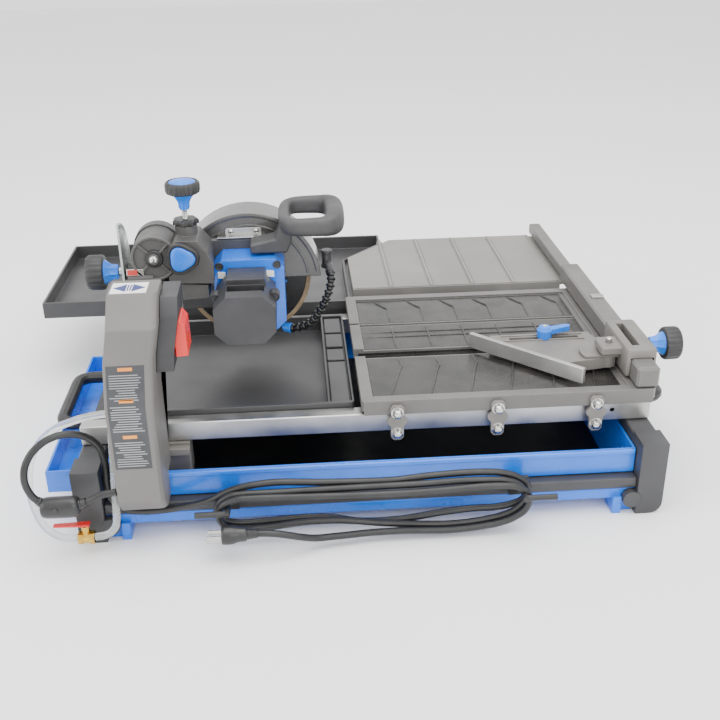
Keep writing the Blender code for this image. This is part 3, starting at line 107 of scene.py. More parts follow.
def surface(name, tones, rough, grain_mm, depth_mm, metallic=0.0, mottle_mm=70.0, stretch=(1.0, 1.0, 1.0),
            edge_mm=0.8, worn=None, coat=0.0):
    """A made surface: two tones drift into each other over the mottle's size, roughness drifts with a
    second drift, a fine grain lifts the surface, and edges are rounded and can be rubbed paler."""
    made = bpy.data.materials.new(name)
    made.use_nodes = True
    tree = made.node_tree
    shader = tree.nodes["Principled BSDF"]
    shader.inputs["Metallic"].default_value = metallic
    shader.inputs["Coat Weight"].default_value = coat
    shader.inputs["Coat Roughness"].default_value = 0.12
    place = add(tree, "TexCoord").outputs["Object"]
    drift = add(tree, "TexNoise", {"Vector": place, "Scale": 1000 / mottle_mm, "Detail": 5.0,
                                   "Roughness": 0.6})
    spread = add(tree, "MapRange", {0: drift.outputs[0], 1: 0.34, 2: 0.66})
    tone = add(tree, "Mix", {0: spread.outputs[0], 6: linear(tones[0]), 7: linear(tones[1])},
               data_type="RGBA")
    colour = tone.outputs[2]
    smear = add(tree, "TexNoise", {"Vector": place, "Scale": 2300 / mottle_mm, "Detail": 4.0})
    gloss = add(tree, "MapRange", {0: smear.outputs[0], 1: 0.32, 2: 0.68, 3: rough[0], 4: rough[1]})
    along = add(tree, "Mapping", {"Vector": place, "Scale": stretch})
    grain = add(tree, "TexNoise", {"Vector": along.outputs[0], "Scale": 1000 / grain_mm, "Detail": 3.0})
    rounded = add(tree, "Bevel", {"Radius": edge_mm / 1000}, samples=4)
    if worn:
        facing = add(tree, "NewGeometry")
        bend = add(tree, "VectorMath", {0: rounded.outputs[0], 1: facing.outputs["Normal"]},
                   operation="DOT_PRODUCT")
        rubbed = add(tree, "MapRange", {0: bend.outputs["Value"], 1: 0.995, 2: 0.90})
        patchy = add(tree, "Math", {0: rubbed.outputs[0], 1: smear.outputs[0]}, operation="MULTIPLY")
        colour = add(tree, "Mix", {0: patchy.outputs[0], 6: colour, 7: linear(worn)},
                     data_type="RGBA").outputs[2]
    lift = add(tree, "Bump", {"Height": grain.outputs[0], "Distance": depth_mm / 1000,
                              "Normal": rounded.outputs[0]})
    tree.links.new(colour, shader.inputs["Base Color"])
    tree.links.new(gloss.outputs[0], shader.inputs["Roughness"])
    tree.links.new(lift.outputs[0], shader.inputs["Normal"])
    return made


def routed(points, count):
    """Evenly spaced points on the smooth curve through a list of places: each span is a cubic whose end
    slopes are half the step between its neighbours (a Catmull-Rom curve)."""
    given = np.array(points, float)
    ends = np.vstack((2 * given[0] - given[1], given, 2 * given[-1] - given[-2]))
    t = np.linspace(0, 1, 24, endpoint=False)[:, None, None]
    a, b, c, d = ends[:-3], ends[1:-2], ends[2:-1], ends[3:]
    fine = 0.5 * (2 * b + (c - a) * t + (2 * a - 5 * b + 4 * c - d) * t ** 2 + (3 * b - a - 3 * c + d)
                  * t ** 3)
    fine = np.vstack((fine.transpose(1, 0, 2).reshape(-1, 3), given[-1]))
    run = np.concatenate(([0.0], np.cumsum(np.linalg.norm(np.diff(fine, axis=0), axis=1))))
    where = np.linspace(0, run[-1], count)
    return np.stack([np.interp(where, run, fine[:, k]) for k in range(3)], 1)


def free_line(name, points, thick, finish):
    """A round tube of one thickness along a curve through the points."""
    curve = bpy.data.curves.new(name, "CURVE")
    curve.dimensions, curve.bevel_depth, curve.bevel_resolution = "3D", thick / 2, 5
    curve.use_fill_caps, curve.resolution_u = True, 6
    spline = curve.splines.new("BEZIER")
    spline.bezier_points.add(len(points) - 1)
    for knot, place in zip(spline.bezier_points, points + ZERO):
        knot.co = place
        knot.handle_left_type = knot.handle_right_type = "AUTO"
    curve.materials.append(finish)
    made = bpy.data.objects.new(name, curve)
    bpy.context.scene.collection.objects.link(made)
    return made


FROM_COLUMN = [(-0.3061, -0.0270, 0.0900), (-0.3120, -0.0270, 0.0900), (-0.3210, -0.0280, 0.0883),
               (-0.3310, -0.0292, 0.0850), (-0.3400, -0.0300, 0.0812), (-0.3446, -0.0300, 0.0792),
               (-0.3700, -0.0300, 0.0775), (-0.3900, -0.0300, 0.0800)]
OVER_THE_SIDE = [(-0.3957, -0.0300, 0.0847), (-0.3993, -0.0300, 0.0884), (-0.4055, -0.0295, 0.1000),
                 (-0.4078, -0.0270, 0.1181), (-0.4024, -0.0220, 0.1354), (-0.3901, -0.0150, 0.1488),
                 (-0.3733, -0.0070, 0.1558), (-0.3551, 0.0000, 0.1550), (-0.3390, 0.0060, 0.1466),
                 (-0.3279, 0.0100, 0.1321), (-0.3240, 0.0120, 0.1144), (-0.3235, 0.0120, 0.0960),
                 (-0.3235, 0.0095, 0.0785), (-0.3214, 0.0050, 0.0665), (-0.3153, 0.0010, 0.0560),
                 (-0.3060, 0.0000, 0.0482), (-0.2885, 0.0000, 0.0435), (-0.2600, -0.0010, 0.0440),
                 (-0.2300, -0.0045, 0.0500), (-0.2040, -0.0100, 0.0590)]
FIRST_TURN = [(-0.190, -0.0105, 0.0660), (-0.166, -0.0105, 0.0760), (-0.121, -0.0105, 0.0815),
              (-0.061, -0.0105, 0.0780), (0.017, -0.0105, 0.0760), (0.060, -0.0105, 0.0795),
              (0.114, -0.0105, 0.0815), (0.152, -0.0105, 0.0790), (0.176, -0.0105, 0.0700),
              (0.188, -0.0105, 0.0540), (0.180, -0.0105, 0.0380), (0.154, -0.0105, 0.0300),
              (0.116, -0.0105, 0.0290), (0.076, -0.0105, 0.0250), (0.030, -0.0105, 0.0190),
              (-0.017, -0.0105, 0.0190), (-0.057, -0.0105, 0.0270), (-0.087, -0.0105, 0.0290),
              (-0.124, -0.0105, 0.0270), (-0.154, -0.0115, 0.0265), (-0.178, -0.0150, 0.0310),
              (-0.1900, -0.0190, 0.0430)]
SECOND_TURN = [(-0.1910, -0.0193, 0.0590), (-0.1800, -0.0193, 0.0690), (-0.164, -0.0193, 0.0725),
               (-0.122, -0.0193, 0.0730), (-0.077, -0.0193, 0.0735), (-0.002, -0.0193, 0.0740),
               (0.059, -0.0193, 0.0745), (0.104, -0.0193, 0.0760), (0.150, -0.0193, 0.0740),
               (0.172, -0.0193, 0.0670), (0.1835, -0.0193, 0.0500), (0.170, -0.0193, 0.0290),
               (0.140, -0.0193, 0.0190), (0.110, -0.0193, 0.0150), (0.075, -0.0193, 0.0145),
               (0.013, -0.0193, 0.0200), (-0.030, -0.0193, 0.0265), (-0.057, -0.0193, 0.0285),
               (-0.093, -0.0193, 0.0280), (-0.139, -0.0203, 0.0235), (-0.172, -0.0240, 0.0260),
               (-0.1870, -0.0277, 0.0390)]
THIRD_TURN = [(-0.1890, -0.0281, 0.0560), (-0.1780, -0.0281, 0.0680), (-0.151, -0.0281, 0.0720),
              (-0.092, -0.0281, 0.0705), (-0.033, -0.0281, 0.0690), (0.021, -0.0281, 0.0683),
              (0.058, -0.0281, 0.0687), (0.088, -0.0281, 0.0700), (0.133, -0.0281, 0.0720),
              (0.168, -0.0281, 0.0690), (0.1840, -0.0281, 0.0570), (0.1840, -0.0281, 0.0400),
              (0.165, -0.0281, 0.0230), (0.133, -0.0281, 0.0150), (0.087, -0.0281, 0.0115),
              (0.035, -0.0281, 0.0140), (-0.010, -0.0292, 0.0143), (-0.042, -0.0330, 0.0150)]
TO_PLUG = [(-0.0700, -0.0376, 0.0170), (-0.0780, -0.0410, 0.0190), (-0.0960, -0.0465, 0.0265),
           (-0.1180, -0.0495, 0.0340), (-0.1380, -0.0500, 0.0370), (-0.1437, -0.0500, 0.0370)]
PLUG = (-0.1560, -0.0500, 0.0370)
DRAIN_VALVE = (-0.3500, -0.0200, 0.0235)
UP_THE_COLUMN = [(-0.3397, -0.0200, 0.0235), (-0.3357, -0.0200, 0.0235), (-0.3237, -0.0200, 0.0267),
                 (-0.3149, -0.0200, 0.0355), (-0.3117, -0.0195, 0.0475), (-0.3112, -0.0160, 0.0650),
                 (-0.3118, -0.0060, 0.0850), (-0.3125, 0.0060, 0.1050), (-0.3125, 0.0140, 0.1300),
                 (-0.3125, 0.0300, 0.1550), (-0.3118, 0.0500, 0.1800), (-0.3050, 0.0605, 0.2000),
                 (-0.3020, 0.0620, 0.2130), (-0.3020, 0.0620, 0.2216)]
OUT_OF_VALVE = [(-0.3593, -0.0200, 0.0235), (-0.3650, -0.0200, 0.0235), (-0.3800, -0.0195, 0.0255),
                (-0.3980, -0.0160, 0.0390), (-0.4085, -0.0100, 0.0650), (-0.4110, -0.0030, 0.0950),
                (-0.4020, 0.0040, 0.1300), (-0.3800, 0.0100, 0.1540), (-0.3500, 0.0130, 0.1660),
                (-0.3260, 0.0140, 0.1710), (-0.3130, 0.0140, 0.1720), (-0.3061, 0.0140, 0.1720)]

# Mains flex: matt black rubber with a faint dusty bloom; its grain is finer than a millimetre.
cord_rubber = surface("black_rubber_flex", ("151516", "232324"), (0.34, 0.46), 0.8, 0.02, mottle_mm=30)
cord_points = routed(FROM_COLUMN + OVER_THE_SIDE + FIRST_TURN + SECOND_TURN + THIRD_TURN + TO_PLUG,
                     CORD_STEPS)
mains_cord = free_line("mains_cord", cord_points, CORD_THICK, cord_rubber)
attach(mains_cord, "frame")
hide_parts("gfci_lead", "supply_cord", "cord_hank", "plug_lead")

# Hose: clear soft PVC, faintly cloudy, wet inside; light passes through it.
clear_hose = surface("clear_pvc_hose", ("E4E8E8", "F4F6F6"), (0.08, 0.16), 2.0, 0.01, mottle_mm=25)
clear_hose.node_tree.nodes["Principled BSDF"].inputs["Transmission Weight"].default_value = 0.75
clear_hose.node_tree.nodes["Principled BSDF"].inputs["IOR"].default_value = 1.38
hose_points = routed(UP_THE_COLUMN, HOSE_STEPS)
drain_hose = free_line("drain_hose", hose_points, HOSE_THICK, clear_hose)
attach(drain_hose, "frame")
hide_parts("water_hose")
side_points = routed(OUT_OF_VALVE, SIDE_HOSE_STEPS)
side_hose = free_line("side_hose", side_points, HOSE_THICK, clear_hose)
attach(side_hose, "frame")
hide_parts("return_hose")


def shown(name, points, faces, finish, body, sharp=38.0):
    """Puts points and faces into a mesh in the frame's place: doubles merged, faces turned outward,
    and edges that bend by more than the sharp angle left crisp."""
    mesh = bpy.data.meshes.new(name)
    mesh.from_pydata((np.asarray(points, float).reshape(-1, 3) + ZERO).tolist(), [], faces)
    work = bmesh.new()
    work.from_mesh(mesh)
    bmesh.ops.remove_doubles(work, verts=work.verts, dist=2e-6)
    bmesh.ops.recalc_face_normals(work, faces=work.faces)
    work.to_mesh(mesh)
    work.free()
    mesh.shade_smooth()
    mesh.set_sharp_from_angle(angle=math.radians(sharp))
    mesh.materials.append(finish)
    made = bpy.data.objects.new(name, mesh)
    bpy.context.scene.collection.objects.link(made)
    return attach(made, body)


def skin(name, rings, finish, body, sharp=38.0, hollow=False):
    """A closed skin over rings of points: four-sided faces join each ring to the next, and the first
    and last rings are filled, or joined to each other when hollow."""
    rings = np.asarray(rings, float)
    rows, count = rings.shape[:2]
    row = np.arange(rows if hollow else rows - 1)[:, None]
    place = np.arange(count)[None, :]
    low, high = row * count, (row + 1) % rows * count
    quads = np.stack((low + place, low + (place + 1) % count, high + (place + 1) % count, high + place), -1)
    faces = quads.reshape(-1, 4).tolist()
    if not hollow:
        faces += [list(range(count))[::-1], list(range((rows - 1) * count, rows * count))]
    return shown(name, rings, faces, finish, body, sharp)


def rounded(piece, width, segments=2, limit=30.0):
    """Rounds a piece's sharp edges to one width."""
    step = piece.modifiers.new("edge", "BEVEL")
    step.width, step.segments, step.limit_method = width, segments, "ANGLE"
    step.angle_limit = math.radians(limit)
    step.harden_normals = True
    return piece


def slab(name, outline, axis, span, finish, body, edge=0.0, segments=2):
    """An outline in two coordinates carried along the third, between two levels."""
    flat = np.array(outline, float)
    rings = np.stack([np.insert(flat, axis, level, axis=1) for level in span])
    piece = skin(name, rings, finish, body)
    return rounded(piece, edge, segments) if edge else piece


def spun(name, profile, axis, centre, finish, body, steps=48, ripple=None, hollow=False, sharp=38.0):
    """(radius, level, ripple share) rings about an axis: each radius is changed by its share of the
    ripple, which is a function of the angle in metres."""
    profile = np.array([(*p, 0.0)[:3] for p in profile], float)
    angle = np.linspace(0, 2 * math.pi, steps, endpoint=False)
    wave = ripple(angle) if ripple else np.zeros(steps)
    radius = np.maximum(profile[:, :1] + profile[:, 2:] * wave, 1e-6)
    flat = np.stack((centre[0] + radius * np.cos(angle), centre[1] + radius * np.sin(angle)), -1)
    rings = np.insert(flat, axis, np.repeat(profile[:, 1:2], steps, 1), axis=2)
    return skin(name, rings, finish, body, sharp, hollow)


def carried(path, radii, sides=24, squash=(1.0, 1.0)):
    """Rings of the given radii square to a path, kept from twisting: each ring's side direction is the
    last one's with its part along the path taken out."""
    path = np.asarray(path, float)
    along = np.gradient(path, axis=0)
    along /= np.linalg.norm(along, axis=1)[:, None]
    side = np.cross(along[0], (0.0, 0.0, 1.0) if abs(along[0][2]) < 0.9 else (0.0, 1.0, 0.0))
    sides_out = []
    for step in along:
        side = side - step * side.dot(step)
        side = side / np.linalg.norm(side)
        sides_out.append(side)
    first = np.array(sides_out)
    second = np.cross(along, first)
    angle = np.linspace(0, 2 * math.pi, sides, endpoint=False)
    reach = np.asarray(radii, float)[:, None, None]
    return path[:, None] + reach * (squash[0] * np.cos(angle)[None, :, None] * first[:, None] + squash[1]
                                    * np.sin(angle)[None, :, None] * second[:, None])


def relief(name, start, end, wide, narrow, finish, body="frame", ribs=5):
    """A tapered moulded sleeve with ribs round it, from its wide end to its narrow end."""
    t = np.linspace(0, 1, ribs * 6 + 1)
    taper = wide + (narrow - wide) * t - 0.0006 * (np.cos(2 * math.pi * ribs * t) < 0)
    path = np.array(start) + (np.array(end) - np.array(start)) * t[:, None]
    return skin(name, carried(path, taper, 20), finish, body, sharp=60)


# Plug, safety box and sleeves: glossier moulded black PVC.
moulded_black = surface("moulded_black_pvc", ("1C1C1D", "2A2A2B"), (0.30, 0.42), 1.2, 0.015, mottle_mm=40)
nickel = surface("nickel_plated_brass", ("C9C9C6", "B4B4B0"), (0.14, 0.26), 2.0, 0.004, metallic=1.0,
                 edge_mm=0.2)
px, py, pz = PLUG
t = np.linspace(0, 1, 15)
plug_swell = np.interp(t, (0, 0.06, 0.35, 0.6, 0.92, 1), (0.0072, 0.0086, 0.0092, 0.0112, 0.0115, 0.0104))
plug_body = skin("plug_body", carried(np.stack((px - 0.0300 * t, py + 0 * t, pz + 0 * t), 1), plug_swell,
                                      28), moulded_black, "frame")
plug_sleeve = relief("plug_sleeve", (px + 0.0125, py, pz), (px - 0.001, py, pz), 0.0056, 0.0070,
                     moulded_black)
for index, aside in enumerate((-0.0063, 0.0063)):
    slab(f"plug_blade_{index}", [(px - 0.0470, pz - 0.0022), (px - 0.0458, pz - 0.0032),
                                 (px - 0.0290, pz - 0.0032), (px - 0.0290, pz + 0.0032),
                                 (px - 0.0458, pz + 0.0032), (px - 0.0470, pz + 0.0022)], 1,
         (py + aside - 0.0008, py + aside + 0.0008), nickel, "frame", 0.0003)
earth_line = np.stack((px - 0.0290 - 0.0210 * t, py + 0 * t, pz - 0.0080 + 0 * t), 1)
earth_round = np.interp(t, (0, 0.86, 0.96, 1), (0.0024, 0.0024, 0.0018, 0.0006))
skin("plug_earth", carried(earth_line, earth_round, 16), nickel, "frame")
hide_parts("power_plug")
gx, gy, gz = -0.3720, -0.0300, 0.0750
t = np.linspace(-1, 1, 25)
bulge = (1 - np.abs(t) ** 6) ** (1 / 3.0)
box_line = np.stack((gx + 0.0230 * t, gy + 0 * t, gz + 0 * t), 1)
safety_box = skin("safety_box", carried(box_line, 0.0050 + 0.0085 * bulge, 32, (0.90, 0.98)),
                  moulded_black, "frame", 60)
box_left = relief("safety_box_left_sleeve", (gx - 0.0155, gy, gz + 0.0026), (gx - 0.0250, gy, gz + 0.0112),
                  0.0070, 0.0052, moulded_black)
box_right = relief("safety_box_right_sleeve", (gx + 0.0185, gy, gz + 0.0010),
                   (gx + 0.0310, gy, gz + 0.0054), 0.0072, 0.0052, moulded_black)
spun("safety_box_button", [(0.0, gy - 0.0128), (0.0038, gy - 0.0128), (0.0042, gy - 0.0118),
                           (0.0042, gy - 0.0100), (0.0, gy - 0.0100)], 1, (gx - 0.004, gz + 0.002),
     moulded_black, "frame", 20)
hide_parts("gfci_box")


def softened(node, width, finish, segments=2):
    """A copy of a CAD piece with its loose triangles merged, flat faces joined and sharp edges rounded."""
    source = frame["nodes"][node]
    places = np.empty(len(source.data.vertices) * 3, np.float32)
    source.data.vertices.foreach_get("co", places)
    corners = np.empty(len(source.data.loops), np.int32)
    source.data.loops.foreach_get("vertex_index", corners)
    unique, index = np.unique(np.round(places.reshape(-1, 3).astype(float), 6), axis=0, return_inverse=True)
    triangles = index.reshape(-1)[corners].reshape(-1, 3)
    whole = (triangles != np.roll(triangles, 1, axis=1)).all(1)
    mesh = bpy.data.meshes.new(node + "_skin")
    mesh.from_pydata(unique.tolist(), [], triangles[whole].tolist())
    work = bmesh.new()
    work.from_mesh(mesh)
    bmesh.ops.remove_doubles(work, verts=work.verts, dist=1e-5)
    bmesh.ops.dissolve_limit(work, angle_limit=math.radians(0.6), verts=work.verts, edges=work.edges)
    work.to_mesh(mesh)
    work.free()
    mesh.shade_smooth()
    mesh.set_sharp_from_angle(angle=math.radians(30))
    mesh.materials.append(finish)
    made = bpy.data.objects.new(node + "_skin", mesh)
    bpy.context.scene.collection.objects.link(made)
    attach(made, source["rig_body"])
    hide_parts(node)
    if width:
        rounded(made, width, segments, 28.0)
    return made


def finished(finish, *nodes):
    """Gives CAD pieces whose shape is right their real surface."""
    for node in nodes:
        data = frame["nodes"][node].data
        data.materials.clear()
        data.materials.append(finish)

# ---------------------------------------------------------------- tub and cradle frame
# Blow-moulded blue tub and foot bars, glossy; the side frames, posts and lower bar are dark
# glass-filled plastic with a fine spark texture; rubber-covered steel handles.
blue_gloss = surface("blue_gloss_abs", ("0A63D2", "1676E6"), (0.22, 0.32), 1.5, 0.01, mottle_mm=160,
                     edge_mm=2.0, coat=0.3)
dark_texture = surface("dark_spark_textured_nylon", ("343436", "3E3E40"), (0.42, 0.56), 0.9, 0.03,
                       mottle_mm=90, edge_mm=1.2)
rubber_sleeve = surface("black_rubber_sleeve", ("1E1E1F", "292929"), (0.36, 0.48), 1.0, 0.03, mottle_mm=40)
finished(blue_gloss, "water_tub")
softened("front_foot_rail", 0.0012, blue_gloss)
softened("rear_foot_rail", 0.0012, blue_gloss)
for part in ("left_side_frame", "right_side_frame"):
    finished(dark_texture, part)
softened("front_lower_bar", 0.0008, dark_texture)
finished(rubber_sleeve, "left_carry_handle", "right_carry_handle", "left_cord_hook", "right_cord_hook",
         "water_pump")


def oblong(left, far, low, high):
    """The four corners of an outline with square corners."""
    return [(left, low), (far, low), (far, high), (left, high)]


# A thin black sheet on the tub's floor is painted shade: it makes the tub's inside read dark below the
# rails.
tub_shade_finish = surface("painted_shade_tub_sheet", ("0E0E0F", "19191A"), (0.30, 0.50), 1.6, 0.03, mottle_mm=120)
slab("tub_floor_painted_shade", oblong(-0.3240, 0.3240, 0.0470, 0.4600), 2, (0.0151, 0.0165), tub_shade_finish,
     "frame", 0.0005)
# A folded ledge runs along the tub's front wall, just under its rim.
slab("tub_front_ledge", [(0.0196, 0.0770), (0.0170, 0.0785), (0.0170, 0.0835), (0.0196, 0.0850)], 0,
     (-0.3290, 0.3290), blue_gloss, "frame", 0.0008)

# ---------------------------------------------------------------- rails, brackets and rollers
# Extruded aluminium rails with fine lines along them, cast hanger plates with zinc dome nuts,
# and acetal rollers on steel axles.
rail_aluminium = surface("extruded_aluminium", ("C6C6C4", "B5B5B3"), (0.30, 0.44), 1.4, 0.02, metallic=1.0,
                         stretch=(0.04, 1.0, 1.0), edge_mm=0.6)
cast_grey = surface("cast_zinc_satin_paint", ("6A6762", "75726D"), (0.40, 0.54), 1.6, 0.05, mottle_mm=50,
                    edge_mm=1.0, worn="9A9791")
zinc_steel = surface("bright_zinc_plated_steel", ("D2D2CE", "BCBCB8"), (0.16, 0.30), 1.5, 0.006,
                     metallic=1.0, edge_mm=0.3)
acetal = surface("grey_acetal", ("8E8C86", "9B9993"), (0.30, 0.40), 1.2, 0.01)
finished(rail_aluminium, "front_rail", "rear_rail", "extension_support")


def hexagon(angle):
    """Six flats round a nut, as a ripple of a cosine six times a turn."""
    return 0.0004 * np.cos(6 * angle)


for number, bracket_x in enumerate((0.0330, 0.1600, 0.2860), 1):
    softened(f"front_bracket_{number}", 0.0007, cast_grey)
    for level in (0.1330, 0.1045):
        spun(f"dome_nut_{number}_{int(level * 1000)}", [(0.0, 0.0447), (0.0028, 0.0449), (0.0046, 0.0460),
                (0.0052, 0.0476, 0.4), (0.0058, 0.0484, 1), (0.0060, 0.0522, 1), (0.0080, 0.0523),
                (0.0080, 0.0533), (0.0, 0.0533)], 1, (bracket_x, level), zinc_steel, "table", 24, hexagon,
             sharp=30)
finished(acetal, "front_roller_1", "front_roller_2", "rear_roller_1", "rear_roller_2")

# ---------------------------------------------------------------- column, labels and switch
# Moulded taupe cover over a cast post; two printed film labels; black switch housing with a red
# safety paddle that has two finger holes.
taupe_cover = surface("taupe_moulded_nylon", ("605E5B", "686562"), (0.38, 0.50), 1.0, 0.02, mottle_mm=110,
                      edge_mm=1.5)
softened("column_cover", 0.0016, taupe_cover, 3)
softened("column_post", 0.0010, cast_grey)
switch_black = surface("switch_housing_black", ("2B2B2D", "353537"), (0.36, 0.50), 1.0, 0.02, mottle_mm=60)
softened("switch_box", 0.0010, switch_black)
paddle_red = surface("red_glossy_nylon", ("D2231C", "E03127"), (0.20, 0.32), 1.5, 0.01, mottle_mm=50,
                     edge_mm=0.6)
softened("switch_paddle", 0.0012, paddle_red)


def lean_at(z):
    """The column's sideways lean at a height, from straight lines between three levels."""
    return np.interp(z, (0.2000, 0.2550, 0.2960), (-0.0125, -0.0080, 0.0))


def film(name, across, heights, finish, out=0.0002):
    """A thin printed film on the column's leaning front: straight across, following the lean upward."""
    z = np.linspace(heights[0], heights[1], 24)
    left, right_edge = across[0] + lean_at(z), across[1] + lean_at(z)
    front, back = np.full(24, -0.0300 - out), np.full(24, -0.0299)
    rings = np.stack([np.stack(p, -1) for p in ((left, back, z), (left, front, z), (right_edge, front, z),
            (right_edge, back, z))], 1)
    return skin(name, rings, finish, "frame")


label_dark = surface("dark_printed_film", ("2E3033", "3A3C3F"), (0.30, 0.40), 1.2, 0.006, mottle_mm=30,
                     edge_mm=0.1)
label_orange = surface("orange_print", ("D9822E", "E2913F"), (0.34, 0.42), 1.2, 0.004, edge_mm=0.1)
label_grey = surface("grey_print", ("8B8D8E", "A3A5A6"), (0.36, 0.44), 1.2, 0.004, edge_mm=0.1)
label_left, label_right = -0.2895, -0.2475
film("column_label", (label_left, label_right), (0.1220, 0.2540), label_dark, 0.0003)
dice = np.random.default_rng(4)
for top in (0.2520, 0.2125, 0.1665):
    film(f"label_header_{int(top * 1000)}", (label_left + 0.0130, label_right - 0.0130),
         (top - 0.0042, top), label_orange, 0.0005)
    lines = np.arange(top - 0.0090, max(top - 0.0430, 0.1235), -0.0031)
    for place in lines:
        start = dice.uniform(0.0, 0.010) if dice.random() < 0.5 else 0.0
        film(f"label_line_{int(place * 1e5)}", (label_left + 0.0030 + start,
                label_right - 0.0030 - dice.uniform(0, 0.008)), (place - 0.0010, place), label_grey, 0.0005)

# Film on the flat top: white, with a plain arrow pointing each way.
print_white = surface("white_printed_film", ("E8E9E8", "F2F2F1"), (0.30, 0.38), 1.2, 0.004, edge_mm=0.1)
print_navy = surface("navy_print", ("1D2C6B", "253579"), (0.34, 0.42), 1.2, 0.004, edge_mm=0.1)
slab("top_label", oblong(-0.2900, -0.2500, 0.0030, 0.0350), 2, (0.3258, 0.3262), print_white, "frame")
for way in (-1, 1):
    tip, root = -0.2700 + way * 0.0180, -0.2700 + way * 0.0035
    slab(f"top_label_arrow_{way + 1}", [(tip, 0.0190), (root, 0.0080), (root, 0.0300)][::way], 2,
         (0.3259, 0.3264), print_navy, "frame")
    slab(f"top_label_bar_{way + 1}", oblong(root - way * 0.0012, root - way * 0.0028, 0.0100,
                                            0.0280)[::way], 2, (0.3259, 0.3264), print_navy, "frame")

# ---------------------------------------------------------------- trays and extension table
# Moulded dark splash trays, satin, with rounded lips; the extension is a lighter taupe plate.
tray_dark = surface("dark_satin_abs", ("333334", "3D3D3E"), (0.30, 0.42), 1.6, 0.012, mottle_mm=140,
                    edge_mm=1.2)
softened("centre_tray", 0.0010, tray_dark)
softened("rear_tray", 0.0010, tray_dark)
extension_taupe = surface("taupe_satin_paint", ("76746F", "807E79"), (0.40, 0.50), 1.2, 0.02,
                          mottle_mm=150, edge_mm=1.0)
softened("extension_table", 0.0010, extension_taupe)
# The plate's ribs are double, and a low border runs round it.
for x in (0.0650, 0.1305, 0.1965, 0.2630):
    for aside in (-0.0042, 0.0042):
        slab(f"extension_line_{int((x + aside) * 1e4)}", oblong(x + aside - 0.0008, x + aside + 0.0008,
                0.4520, 0.6700), 2, (0.1455, 0.1466), extension_taupe, "frame", 0.0004)
for name, outline in (("front", oblong(0.0060, 0.3360, 0.4440, 0.4462)),
                      ("side", oblong(0.3338, 0.3360, 0.4440, 0.6770))):
    slab(f"extension_border_{name}", outline, 2, (0.1455, 0.1474), extension_taupe, "frame", 0.0006)
# Flanges under the plate's edges close the gaps to the fence and to the rear tray.
slab("extension_side_flange", oblong(0.3370, 0.3560, 0.4430, 0.6780), 2, (0.1400, 0.1440), extension_taupe,
     "frame", 0.0008)
slab("rear_tray_flange", [(-0.0040, 0.4440), (0.0090, 0.4440), (0.0090, 0.5900), (0.0890, 0.6770),
                          (0.0660, 0.6770), (-0.0040, 0.6000)], 2, (0.1300, 0.1340), tray_dark,
     "frame", 0.0008)
# Steps in the strip beside the table, which catch water that runs off it.
for start, end in ((0.0990, 0.2180), (0.2240, 0.2600), (0.2680, 0.3120), (0.3180, 0.3700)):
    slab(f"tray_step_{int(start * 1000)}", oblong(-0.0475, -0.0230, start, end), 2, (0.1242, 0.1285),
         tray_dark, "frame", 0.0012)

# ---------------------------------------------------------------- sliding table
# Taupe-painted satin casting with a dark rubber deck mat; the mat is polished by use and has
# raised ribs with a bend in each, laid side by side.
table_cast = surface("cast_aluminium_taupe_paint", ("5E5C59", "686663"), (0.36, 0.50), 1.4, 0.05,
                     mottle_mm=80, edge_mm=1.2, worn="A29F98")
softened("table_casting", 0.0012, table_cast, 3)
deck_rubber = surface("worn_black_deck_rubber", ("232221", "34322F"), (0.16, 0.36), 2.2, 0.03,
                      mottle_mm=45, edge_mm=0.8)
deck_low, deck_high, rib_high = 0.1445, 0.1452, 0.1472
for name, near, far in (("front", 0.0735, 0.1870), ("middle", 0.2170, 0.2940), ("rear", 0.3060, 0.3915)):
    slab(f"deck_mat_{name}", oblong(0.0045, 0.3225, near, far), 2, (deck_low - 0.0003, deck_high),
         deck_rubber, "table", 0.0005)
rib_places = (0.0485, 0.0990, 0.1500, 0.2010, 0.2560, 0.3090)
# A dark folded trough hangs under each slot as painted shade, so the slots read dark over the blue tub.
for name, near, far in (("bevel", 0.1868, 0.2172), ("kerf", 0.2925, 0.3075)):
    slab(f"slot_painted_shade_{name}", [(near, 0.1405), (near, 0.1342), (far, 0.1342), (far, 0.1405),
                                 (far - 0.0015, 0.1405), (far - 0.0015, 0.1357), (near + 0.0015, 0.1357),
                                 (near + 0.0015, 0.1405)], 0, (-0.0040, 0.3230), deck_rubber,
         "table", 0.0004)


def deck_rib(name, places):
    """A low rounded bar along a bent line: half an ellipse 3.2 mm wide and 1.6 mm high."""
    path = routed([(x, y, deck_high - 0.0002) for x, y in places], 28)
    bend = np.linspace(0, math.pi, 9)
    ahead_of = np.gradient(path, axis=0)
    aside = np.stack((ahead_of[:, 1], -ahead_of[:, 0], 0 * path[:, 0]), 1)
    aside /= np.linalg.norm(aside, axis=1)[:, None]
    fade = np.minimum(1, 6 * np.minimum(np.linspace(0, 1, 28), np.linspace(1, 0, 28)) + 0.2)
    rise = np.array((0, 0, 1.0))
    rings = path[:, None] + 0.0016 * np.cos(bend)[None, :, None] * aside[:, None] \
        + ((rib_high - deck_high) * fade)[:, None, None] * np.sin(bend)[None, :, None] * rise
    return skin(name, rings, deck_rubber, "table", 60)


for number, x in enumerate(rib_places):
    deck_rib(f"deck_rib_rear_{number}", [(x - 0.0190, 0.3890), (x - 0.0040, 0.3640), (x + 0.0010, 0.3560),
                                         (x + 0.0010, 0.3340), (x, 0.3090)])
    deck_rib(f"deck_rib_front_{number}", [(x - 0.0200, 0.0780), (x - 0.0030, 0.1450), (x + 0.0010, 0.1560),
                                          (x + 0.0010, 0.1700), (x, 0.1850)])
    deck_rib(f"deck_rib_middle_{number}", [(x, 0.2190), (x + 0.0002, 0.2420), (x + 0.0006, 0.2660),
                                           (x + 0.0008, 0.2920)])
